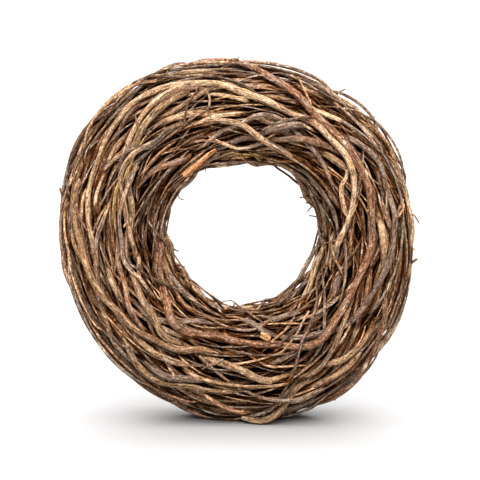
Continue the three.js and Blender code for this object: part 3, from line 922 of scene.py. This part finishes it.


# %% [markdown]
# The main canes come first, one piece for each, because each is a cane of its own in the imported model. They
# take their routes from it and so lie where its solids lie. The thicker a cane, the more sides it gets. Its
# tone and warmth are drawn at random, except for some canes at the front, the rim and the bottom: theirs are
# chosen, so that each is about as dark, pale or red as it looks on the real wreath. For the canes at the
# bottom of the ring that darkness is partly their own and partly painted shade.

# %% Main canes
FAMILIES = ["grey", "brown", "ochre", "pale"]
# vine_15 and vine_16 lie at the bottom of the ring: their low tones are partly painted shade.
CHOSEN = {"vine_09": (0.5, 0.4), "vine_15": (-0.8, -0.6), "vine_16": (-0.8, -0.3), "vine_21": (-0.2, 0.2),
          "vine_24": (-0.1, 0.0), "vine_29": (-0.2, 0.5), "vine_33": (0.1, 0.6), "vine_35": (-0.7, -0.3),
          "vine_36": (-0.5, 0.5), "vine_37": (-0.6, 0.6), "vine_38": (-0.3, 0.1), "vine_41": (-0.5, 0.8),
          "vine_43": (-1.1, -0.4), "vine_47": (-0.9, 0.2)}
THICK = 4 * MM
STUBS_ON_MAIN = 0.22
rng = np.random.default_rng(21)
triangles = 0
for number, name in enumerate(vines):
    rows = tucked(fine_routes[name])
    family = FAMILIES[number % len(FAMILIES)]
    sides = 12 if rows[:, 3].max() > THICK else 10
    look = CHOSEN.get(name, rng.uniform(-1, 1, 2))
    whole, spots = cane(in_space(rows), sides, rng, look=look)
    broken = [spot for spot in spots if rng.random() < STUBS_ON_MAIN]
    parts = [whole] + [stub(spot, rng) for spot in broken]
    piece(name.replace("vine", "cane"), parts, barks[family], family + "_bark", name)
    triangles += sum(2 * len(part["quads"]) + len(part["fans"]) for part in parts)
print(len(vines), "main canes with", triangles, "triangles")

# %% [markdown]
# Some side twigs cross the others more steeply. On the real wreath they are dark, thin and full of knots, so
# theirs come closer together, swell more and carry more stubs. One dark bark suits all of them, so they are
# one piece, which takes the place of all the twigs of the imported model.

# %% Side twigs
TWIG_SIDES = 8
STUBS_ON_TWIGS = 0.3


def with_stubs(made, share, rng):
    """What cane() made, as parts: the cane, and stubs at about that share of its knots."""
    whole, spots = made
    return [whole] + [stub(spot, rng) for spot in spots if rng.random() < share]


parts = []
for name in twigs:
    twig = cane(in_space(fine_routes[name]), TWIG_SIDES, rng, kink=0.9, swell=0.25, spacing=(9, 26))
    parts += with_stubs(twig, STUBS_ON_TWIGS, rng)
piece("side_twigs", parts, barks["twig"], "twig_bark", *twigs)
print(len(twigs), "side twigs as", len(parts), "tubes")

# %% [markdown]
# The settled canes are far too many for a piece each. They are sorted by where they lie and by bark instead,
# which also gives each piece one material. The canes of a kind are dealt out among four families of bark.
# The thinnest ones get fewer sides and fewer stubs. The inner ones share the darkest bark, near black, which
# is painted shade: they are seen only in deep gaps.

# %% Settled canes
SHARES = {
    "over": ["pale", "grey", "ochre", "brown"],
    "rim": ["grey", "ochre", "brown", "grey"],
    "hole": ["ochre", "brown", "grey", "pale"],
    "medium": ["grey", "brown", "ochre", "pale"],
    "thin": ["twig", "brown", "grey", "ochre"],
    "cross": ["ochre", "pale", "brown", "ochre"],
    "fine": ["brown", "ochre", "grey", "twig"],
}
GROUPS = {"over": "over", "medium": "medium", "rim": "edge", "hole": "edge", "thin": "thin", "cross": "over",
          "fine": "thin"}
SIDES_AND_STUBS = {"over": (8, 0.15), "medium": (8, 0.15), "edge": (8, 0.15), "thin": (6, 0.1)}
INNER_SIDES = 5
groups = {}
for kind, families in SHARES.items():
    sides, share = SIDES_AND_STUBS[GROUPS[kind]]
    for k, family in enumerate(families):
        parts = groups.setdefault((GROUPS[kind], family), [])
        for rows in thin_routes[kind][k :: len(families)]:
            made = cane(in_space(rows), sides, rng, kink=1.2, swell=0.2, spacing=(12, 36))
            parts += with_stubs(made, share, rng)
for (group, family), parts in groups.items():
    made = piece(f"{group}_canes_{family}", parts, barks[family], family + "_bark")
    print(made.name, len(parts), "tubes")

inner = [cane(in_space(rows), INNER_SIDES, rng)[0] for rows in thin_routes["inner"]]
print("inner canes:", len(inner))

# %% [markdown]
# What the eye picks out on the real wreath are the odd ones: a short pale shoot that arches over its
# neighbours, thin canes that spring off the rim and leave a slit of light, a twig across the grain, a cut
# end, a flat strip of peeled wood. These are listed one by one, each with a radius and a few points in
# millimetres. A point on a face is given across and up from the ring's axis, and by how far it is lifted off
# the section's ellipse. A point at the rim is given by its angle and how far it stands out, and one at the
# hole's edge by its angle and its distance from the axis, both with the depth behind the middle plane.

# %% Places on the ring
MOST_OUT = 0.98
RIM_SUNK = 7
RIM_POINTS = 7


def on_face(points, face=-1):
    """(across, up, lift) in millimetres to space: the depth is that of the section's ellipse there, half
    depth times the root of one less the square of the share of the half width, and lift is added to it. The
    face is minus one for the front and one for the back."""
    across, up, lift = (np.array(points, float) * MM).T
    angle, out = np.arctan2(up, across), np.hypot(across, up)
    mid, half = section(angle)
    share = np.clip((out - mid) / half, -MOST_OUT, MOST_OUT)
    return place(np.column_stack([angle, out, face * (HALF_DEPTH * np.sqrt(1 - share**2) + lift)]))


def rim_arc(start, end, stand, back):
    """Points for on_outline from one angle to another: sunk by RIM_SUNK at both ends, and standing out by
    stand half way, with the square root of a half sine wave between."""
    share = np.linspace(0, 1, RIM_POINTS)
    rise = np.sqrt(np.sin(math.pi * share).clip(0))
    return np.column_stack([start + (end - start) * share, -RIM_SUNK + (stand + RIM_SUNK) * rise,
                            back + 0 * share])


def on_outline(points):
    """(degrees, stand, back) to space: stand millimetres beyond the rim and back behind the middle plane."""
    degrees, stand, back = np.array(points, float).T
    angle = np.radians(degrees)
    out = outline(RIM_RADIUS, RIM_WAVES, angle) + stand * MM
    return place(np.column_stack([angle, out, back * MM]))


def hole_points(points):
    """(degrees, distance from the axis, back) to space, for canes at the hole's edge."""
    degrees, out, back = np.array(points, float).T
    return place(np.column_stack([np.radians(degrees), out * MM, back * MM]))


print("the top of the rim, in mm:", np.round(on_outline([(90, 0, 0)])[0] / MM).tolist())

# %% On the front
FRONT = {
    "pale": [
        (2.3, [(104, 76, -4), (102, 64, 1), (97, 52, 3), (100, 33, 1), (106, 20, -4)]),
        (2.2, [(66, 130, -3), (74, 126, 1), (86, 121, 2), (96, 117, 2)]),
        (1.7, [(-34, 103, -9), (-21, 97, -1), (-5, 91, 2), (8, 92, 1), (22, 97, -6)]),
    ],
    "ochre": [
        (1.3, [(16, 96, -3), (28, 104, 2), (44, 115, 3), (60, 123, -3)]),
        (1.2, [(52, 159, -3), (58, 152, 1), (67, 134, 3), (70, 118, 0), (71, 110, -4)]),
        (1.1, [(-35, 146, -3), (-31, 141, 2), (-31, 133, 1), (-33, 127, -3)]),
        (1.5, [(150, 22, -3), (153, 31, 2), (157, 40, 4)]),
        (1.2, [(66, -70, -3), (62, -75, 2), (54, -89, 3), (41, -107, 2)]),
        (1.9, [(-102, 60, -9), (-90, 75, -3), (-77, 88, -3), (-61, 100, -9)]),
    ],
    "grey": [
        (1.8, [(-106, 71, -9), (-94, 86, -3), (-80, 98, -3), (-64, 109, -9)]),
    ],
    "straw": [
        (0.8, [(-89, 109, -3), (-98, 95, 1), (-106, 80, 3), (-114, 60, 2), (-118, 42, -4)]),
        (0.7, [(-93, 102, -3), (-103, 86, 2), (-110, 68, 2), (-114, 52, -3)]),
        (0.8, [(-100, 74, -3), (-108, 62, 2), (-112, 46, 3), (-114, 30, -3)]),
        (1.7, [(-114, 69, -4), (-120, 52, 1), (-123, 35, 1), (-124, 16, -5)]),
        (0.8, [(-24, 149, -3), (-7, 149, 2), (6, 146, 3), (16, 138, -3)]),
        (0.7, [(-26, 138, -3), (-12, 141, 2), (4, 140, 3), (22, 136, -3)]),
        (0.7, [(-20, 83, -3), (-11, 87, 2), (-1, 86, 2), (9, 82, -3)]),
    ],
    "brown": [
        (2.7, [(-114, 54, -4), (-117, 72, 1), (-112, 86, 4), (-101, 92, 5), (-89, 93, 5), (-80, 100, 4),
               (-69, 111, 2), (-57, 115, 0), (-42, 118, -5)]),
        (1.7, [(-97, 55, -9), (-84, 71, -4), (-71, 83, -4), (-55, 94, -9)]),
    ],
    "twig": [
        (1.0, [(118, 88, -3), (116, 73, 2), (112, 52, 2), (107, 34, -3)]),
        (1.0, [(-52, 137, -3), (-53, 131, 2), (-56, 115, 1), (-57, 108, -4)]),
        (0.9, [(-40, 151, -3), (-44, 145, 1), (-51, 135, -1)]),
        (0.9, [(-150, 62, -3), (-156, 55, 1), (-160, 46, 2), (-158, 28, 2), (-152, 15, -1), (-148, 6, -5)]),
        (1.0, [(-92, 20, -3), (-87, 12, 2), (-79, 0, 3), (-73, -9, -1)]),
        (0.8, [(76, -10, -3), (82, -4, 2), (94, 2, 3), (103, 6, -1)]),
        (1.2, [(-73, -124, -4), (-69, -129, 2), (-62, -138, 3), (-55, -149, 0)]),
        (0.9, [(-38, -127, -3), (-30, -122, 2), (-18, -116, 2)]),
        (1.2, [(-8, -68, -4), (-1, -72, 1), (12, -78, 2), (22, -83, 1)]),
        (1.0, [(-103, 121, -3), (-100, 113, 2), (-96, 106, 2), (-90, 104, -2)]),
        (0.9, [(-97, -20, -3), (-90, -30, 2), (-86, -41, 1)]),
    ],
}
print(sum(map(len, FRONT.values())), "odd canes on the front")

# %% [markdown]
# The photograph doesn't show the back. It gets a few odd canes too, in the manner of the front.

# %% On the back
BACK = {
    "pale": [
        (1.9, [(0, 104, -4), (12, 98, 1), (28, 92, 3), (42, 90, 2), (54, 84, -4)]),
    ],
    "ochre": [
        (2.4, [(-100, 60, -4), (-92, 80, 1), (-78, 96, 3), (-60, 104, 2), (-44, 112, -4)]),
        (1.3, [(-60, -90, -3), (-74, -82, 2), (-88, -66, 2), (-94, -52, -3)]),
    ],
    "brown": [
        (2.2, [(70, -110, -4), (86, -96, 2), (102, -80, 3), (116, -60, 1), (120, -46, -4)]),
    ],
    "twig": [
        (1.1, [(40, 120, -3), (52, 108, 2), (66, 96, 3), (74, 82, -2)]),
        (1.0, [(-130, -20, -3), (-122, -34, 2), (-110, -44, 2), (-104, -60, -3)]),
        (1.1, [(20, -150, -3), (32, -138, 2), (40, -120, 2), (52, -108, -3)]),
        (1.0, [(130, 30, -3), (120, 44, 2), (112, 52, 2), (98, 60, -3)]),
    ],
}
print(sum(map(len, BACK.values())), "odd canes on the back")

# %% [markdown]
# The outline of a real wreath is never smooth. Canes that have sprung off the rim are given by their radius,
# their first and last angle, how far they stand out half way and their depth. A few twigs stand up from it.

# %% At the rim
RIM = {
    "grey": [
        (1.7, 97, 56, 3, -7), (1.6, 60, 38, 0, 1), (1.4, 46, 20, 0, -6), (1.3, 342, 311, -2, -4),
        (1.3, 204, 236, 0, -5), (1.0, 112, 84, 2, -4), (1.8, 178, 132, 0, -14), (1.7, 168, 136, 1, -5),
        (1.8, 194, 236, -1, -9), (2.0, 184, 232, 0, 14), (1.8, 150, 205, 0, -7), (2.0, 186, 240, 0, -20),
    ],
    "ochre": [
        (1.9, 172, 128, 1, 2), (1.6, 150, 118, 0, -24), (1.7, 104, 76, -1, 3), (1.7, 146, 112, 0, -8),
    ],
    "twig": [
        (1.5, 200, 232, 1, -2), (1.3, 300, 322, 0, -8), (1.4, 20, 352, 0, -4), (1.3, 244, 268, 0, -14),
    ],
    "brown": [
        (1.4, 8, 344, 0, -14), (1.1, 190, 168, 1, -18), (2.1, 184, 140, 0, 11), (1.6, 166, 138, 1, -18),
        (1.9, 190, 244, 0, 5), (1.7, 198, 238, 0, -15), (1.6, 160, 212, 0, -18), (1.7, 222, 256, 0, -10),
    ],
}
STANDING = [
    (0.8, [(8.5, -6, -20), (7.2, -3, -21), (5.0, 0.5, -22)]),
    (1.5, [(-11, -7, -12), (-8.6, -3, -14), (-7, 1, -16)]),
    (1.0, [(56.5, -4, -10), (56, 1, -12), (55.2, 5, -13)]),
    (1.6, [(167, -4, -14), (166, 1, -16), (164.5, 3, -17)]),
    (0.7, [(88.5, -3, -10), (91, 3, -12), (93, 4, -13), (95, 1, -12)]),
]
print(sum(map(len, RIM.values())), "canes at the rim and", len(STANDING), "twigs that stand up from it")

# %% [markdown]
# Round the hole thin canes cut across its edge, short stubs poke into it, and a fringe of straws lies over
# its upper edge.

# %% At the hole's edge
HOLE_EDGE = [
    (0.9, [(182, 76, -10), (192, 70, -13), (205, 66, -14), (216, 66, -13), (226, 72, -10)]),
    (1.2, [(210, 73, -10), (222, 65.5, -14), (234, 65, -14), (246, 67.5, -13), (256, 75, -10)]),
    (1.0, [(218, 72, -14), (230, 66, -16), (242, 65.5, -16), (256, 70, -14)]),
    (0.6, [(251, 73, -8), (256, 67, -12), (261, 65, -13), (264, 67.5, -12), (263, 73, -9)]),
    (0.8, [(98, 84, -22), (86, 79, -26), (72, 79, -26), (60, 85, -21)]),
    (1.3, [(294, 78, -8), (308, 70.5, -12), (322, 70, -13), (338, 69, -12), (352, 77, -8)]),
    (1.7, [(298, 79, -10), (314, 73, -12), (334, 71, -12), (352, 75, -8)]),
    (1.2, [(320, 77, 2), (336, 71.5, 0), (348, 73, 0), (366, 78, 2)]),
    (1.2, [(0, 84, -16), (12, 78.5, -22), (24, 78.5, -22), (38, 84, -16)]),
    (1.3, [(80, 78, -20), (92, 74, -24), (104, 74, -24), (118, 79, -20)]),
    (1.6, [(72, 81, -22), (88, 76.5, -26), (102, 76.5, -26), (116, 81, -22)]),
    (1.4, [(66, 80, -12), (80, 75.5, -14), (96, 75.5, -14), (110, 80, -12)]),
    (1.1, [(262, 77, 8), (278, 71.5, 6), (292, 72, 6), (306, 77, 8)]),
    (0.7, [(24, 80, -6), (23, 75, -9), (21, 70, -12)]),
    (0.8, [(31, 79, -4), (32, 74, -7), (34, 69.5, -10)]),
    (0.6, [(13, 80, -10), (16, 75, -12), (18, 70, -14)]),
    (0.7, [(204, 74, -4), (206, 68, -7), (209, 64, -10)]),
    (0.6, [(146, 77, -6), (148, 72, -9), (147, 68, -12)]),
]
FRINGE = [
    (0.8, [(-15, 80, -3), (-5, 84, 1), (8, 84, 2), (20, 79, -3)]),
    (0.7, [(1, 80, -3), (10, 85, 2), (18, 83, 2), (27, 78, -3)]),
    (0.7, [(-9, 87, -2), (-3, 82, 3), (3, 78, 1), (5, 75, -2)]),
    (0.6, [(7, 87, -2), (13, 82, 3), (17, 78, 1), (19, 75, -2)]),
]
print(len(HOLE_EDGE), "canes at the hole's edge and", len(FRINGE), "straws above it")

# %% Canes placed one by one
HAND_SIDES = 8
HAND_STEP = 1.5
ENDS_LEFT = 0.82
MIDDLE_MORE = 0.18


def by_hand(points, radius, rng, **settings):
    """A cane along a cubic through points in space. The radius is one number, or one for each end. It is
    times ENDS_LEFT plus MIDDLE_MORE by most of a half sine wave, so that the ends are thinner."""
    length = np.linalg.norm(np.diff(points, axis=0), axis=1).sum() / MM
    path = curve_through(points, max(8, round(length / HAND_STEP)))
    thick = np.linspace(*np.broadcast_to(radius, 2), len(path)) * MM
    thick *= ENDS_LEFT + MIDDLE_MORE * np.sin(np.linspace(0.4, math.pi - 0.3, len(path)))
    return cane(np.column_stack([path, thick]), HAND_SIDES, rng, **settings)[0]


rng = np.random.default_rng(31)
odd = {family: [by_hand(on_face(points), radius, rng) for radius, points in rows]
       for family, rows in FRONT.items()}
for family, rows in BACK.items():
    odd.setdefault(family, []).extend(by_hand(on_face(points, 1), radius, rng) for radius, points in rows)
for family, rows in RIM.items():
    odd.setdefault(family, []).extend(
        by_hand(on_outline(rim_arc(*arc)), radius, rng) for radius, *arc in rows)
odd["twig"] += [by_hand(on_outline(points), radius, rng, kink=0.2) for radius, points in STANDING]
odd["twig"] += [by_hand(hole_points(points), radius, rng, kink=0.3) for radius, points in HOLE_EDGE]
odd["straw"] += [by_hand(on_face(points), radius, rng, kink=0.4) for radius, points in FRINGE]
for family, parts in odd.items():
    slot = "ochre_bark" if family == "straw" else family + "_bark"
    piece("odd_canes_" + family, parts, barks[family], slot)
print("canes placed by hand:", {family: len(parts) for family, parts in odd.items()})

# %% [markdown]
# Dry vine sheds. Threads of bark curl off the canes, and where it has split, flat strips of the tan wood
# below lift at one end. Each starts inside the cane that carries it and runs on along it as it rises.

# %% Threads and strips of bark
THREADS = 340
THREAD_SIDES = 4
STRIPS = 46
STRIP_SIDES = 8
STRIP_FLAT = 0.16
STARTS_OUT = 0.7


def carrier(rng):
    """A random point in a cane near the surface, STARTS_OUT of the way from its middle to its bark: where it
    is, the way out, and the way along the cane."""
    rows = shedding[rng.integers(len(shedding))]
    path = place(rows)
    k = rng.integers(2, len(rows) - 2)
    ahead = unit((path[k + 1] - path[k - 1])[None])[0] * rng.choice([-1, 1])
    out = unit(outward(path[k : k + 1]))[0]
    out = unit((out - (out @ ahead) * ahead)[None])[0]
    return path[k] + STARTS_OUT * rows[k, 3] * out, out, ahead


def shed(rng, length, lift, curl, radius, sides, **settings):
    """A thread or strip from a carrier: along it by length times s, out by lift times s squared, and to the
    side by curl times a sine of s. From a third of its length on it grows thinner."""
    at, out, ahead = carrier(rng)
    s = np.linspace(0, 1, max(6, round(length / HAND_STEP)))[:, None]
    side = np.cross(ahead, out)
    sway = curl * np.sin(rng.uniform(2, 7) * s + rng.uniform(0, 6))
    path = at + MM * (length * s * ahead + lift * s**2 * out + (sway - sway[0]) * side)
    path[:, 2] = np.maximum(path[:, 2], radius * MM)
    width = radius * MM * np.clip(1.3 - s[:, 0], 0.3, 1)
    return cane(np.column_stack([path, width]), sides, rng, facing=out, kink=0, swell=0, **settings)[0]


shedding = [rows for kind in ("over", "medium", "thin") for rows in thin_routes[kind]]
shedding += list(fine_routes.values())
rng = np.random.default_rng(47)
threads = [shed(rng, rng.uniform(6, 24), rng.uniform(0.5, 5), rng.uniform(0, 3), rng.uniform(0.18, 0.38),
                THREAD_SIDES) for _ in range(THREADS)]
strips = [shed(rng, rng.uniform(12, 40), rng.uniform(0.5, 3.5), rng.uniform(0, 1), rng.uniform(0.8, 1.5),
               STRIP_SIDES, flat=STRIP_FLAT) for _ in range(STRIPS)]
piece("bark_threads", threads[::2], barks["ochre"], "ochre_bark")
piece("bark_threads_dark", threads[1::2], barks["twig"], "twig_bark")
piece("bark_strips", strips[::2], barks["pale"], "pale_bark")
piece("bark_strips_brown", strips[1::2], barks["brown"], "brown_bark")
print("threads and strips:", len(threads), len(strips))

# %% [markdown]
# Above the hole, to the left, one cane is split lengthwise and shows its orange wood as a flat, tapering
# tongue. It is a cane pressed flat, with one radius for each end, whose flat side faces the camera. Two more
# fresh ends show the same wood.

# %% The split cane at the hole, and fresh ends
SPLIT_RADII = (2.6, 4.6)
SPLIT_POINTS = [(-25, 90, 2), (-33, 84, 6), (-41, 77, 8), (-49, 70, 8), (-56, 64, 6)]
SPLIT_FLAT = 0.3
SPLIT_FACING = (0.3, -1, -0.3)
FRESH_ENDS = [
    (3.0, [(27, -99, -5), (23, -96, -1), (18, -93, 3)]),
    (1.2, [(155, 37, -4), (157, 32, 1), (152, 24, 2)]),
]
split = [by_hand(on_face(SPLIT_POINTS), SPLIT_RADII, rng, flat=SPLIT_FLAT, facing=SPLIT_FACING)]
split += [by_hand(on_face(points), radius, rng) for radius, points in FRESH_ENDS]
piece("split_canes", split, barks["split"], "ochre_bark")
print("split and fresh ends:", len(split))

# %% [markdown]
# Through the deepest gaps only shade shows. A closed core fills the middle of the winding there, and its
# near-black bark and full painted shade stand in for that shade. It is one surface over two parameters, the
# angle round the ring and the turn round the section, with rounded strands on it, and it makes one piece
# with the inner canes, in place of the imported model's inner bundle.

# %% The imported core
CORE_AROUND = 120
CORE_ACROSS = 100
CORE_STRANDS = 17
STRAND_HEIGHT = 4 * MM
CORE_GRAIN = (60, 125)
# A low tone and no openness, so that the painted shade makes the core its darkest.
CORE_LOOK = [-0.6, 0.0, 0.0, 0.0]


def core():
    """A closed surface inside the canes: the section's ellipse drawn in by CORE_DEPTH, on which strands
    stand up as half sine waves that turn round the section as they go round the ring. Its grain is a
    circle across and the angle along, both in millimetres."""
    angle = np.linspace(0, math.tau, CORE_AROUND, endpoint=False)[:, None]
    turn = np.linspace(0, math.tau, CORE_ACROSS, endpoint=False)[None]
    strand = np.abs(np.sin(0.5 * CORE_STRANDS * turn + 3 * angle + 0.8 * np.sin(5 * angle)))
    inset = CORE_DEPTH - STRAND_HEIGHT * strand
    mid, half = section(angle)
    out = mid + (half - inset) * np.cos(turn)
    back = -(HALF_DEPTH - inset) * np.sin(turn)
    points = place(np.column_stack([(angle + 0 * turn).ravel(), out.ravel(), back.ravel()]))
    ring = np.arange(len(points)).reshape(CORE_AROUND, CORE_ACROSS)
    ahead, beside = np.roll(ring, -1, 0), np.roll(ring, -1, 1)
    quads = np.stack([ring, beside, np.roll(ahead, -1, 1), ahead], axis=-1).reshape(-1, 4)
    across, along = CORE_GRAIN
    grain = [across * np.cos(turn) + 0 * angle, across * np.sin(turn) + 0 * angle, along * angle + 0 * turn]
    grain = np.column_stack([part.ravel() for part in grain])
    look = np.tile(CORE_LOOK, (len(points), 1))
    return {"points": points, "quads": quads, "fans": np.zeros((0, 3), int), "grain": grain, "look": look,
            "cut": np.zeros(len(quads))}


piece("inner_canes", inner + [core()], barks["inner"], "inner_bark", "inner_bundle")
print("core with", CORE_AROUND * CORE_ACROSS, "faces")

# %% [markdown]
# The wreath is shown as in the photograph: on a plain pale floor that runs on into a white room. A key light
# in front and above draws the bark. A very broad one overhead sheds the soft shadow below the ring and burns
# the floor round it out to white. The key light would wash this shadow out, so light linking keeps it off
# the floor: a light with a collection of receivers spares what that collection leaves out.

# %% The floor
FLOOR_HALF = 6.0
FLOOR_TONES = [(0.0, (0.525,) * 3), (1.0, (0.54,) * 3)]


def floor():
    """A square floor, a little uneven in tone."""
    half = FLOOR_HALF
    corners = [(-half, -half, 0), (half, -half, 0), (half, half, 0), (-half, half, 0)]
    mesh = bpy.data.meshes.new("floor")
    mesh.from_pydata(corners, [], [(0, 1, 2, 3)])
    made = bpy.data.objects.new("floor", mesh)
    material = bpy.data.materials.new("floor_paint")
    shader = Shader(material)
    where = shader.node("TexCoord").outputs["Object"]
    tone = shader.ramp(shader.noise(where, scale=3.0), FLOOR_TONES)
    paint = shader.node("BsdfPrincipled", **{"Base Color": tone, "Roughness": 0.6})
    shader.node("OutputMaterial", Surface=paint.outputs[0])
    mesh.materials.append(material)
    bpy.context.scene.collection.objects.link(made)
    return made


ground = floor()
print("floor", 2 * FLOOR_HALF, "m wide")

# %% Lights and room


def sun(name, at, power, spread):
    """A sun that shines from a place towards the middle of the ring. The wider its spread, the softer its
    shadows."""
    data = bpy.data.lights.new(name, "SUN")
    data.energy = power
    data.angle = spread
    made = bpy.data.objects.new(name, data)
    made.location = at
    made.rotation_euler = (Vector(at) - Vector(AXIS)).to_track_quat("Z", "Y").to_euler()
    bpy.context.scene.collection.objects.link(made)
    return made


def spare(light, thing):
    """Keeps a light off one thing, by a collection of receivers that leaves it out."""
    spared = bpy.data.collections.new("spared_by_the_" + light.name)
    spared.objects.link(thing)
    spared.collection_objects[0].light_linking.link_state = "EXCLUDE"
    light.light_linking.receiver_collection = spared


def room(seen, shed):
    """A white room: the camera sees it at one strength, and it sheds light at another."""
    world = bpy.data.worlds.new("room")
    shader = Shader(world)
    ray = shader.node("LightPath").outputs["Is Camera Ray"]
    strength = shader.node("MapRange", **{"Value": ray, "To Min": shed, "To Max": seen}).outputs[0]
    glow = shader.node("Background", Color=(1, 1, 1, 1), Strength=strength)
    shader.node("OutputWorld", Surface=glow.outputs[0])
    bpy.context.scene.world = world


key = sun("key", at=(0.1, -1.2, 1.2), power=2.2, spread=math.radians(16))
spare(key, ground)
sun("overhead", at=(0.0, -0.02, 1.35), power=6.0, spread=math.radians(108))
room(seen=1.02, shed=0.2)
bpy.context.scene.view_settings.view_transform = "Standard"
bpy.context.scene.view_settings.look = "Medium High Contrast"
print("two suns and a white room")
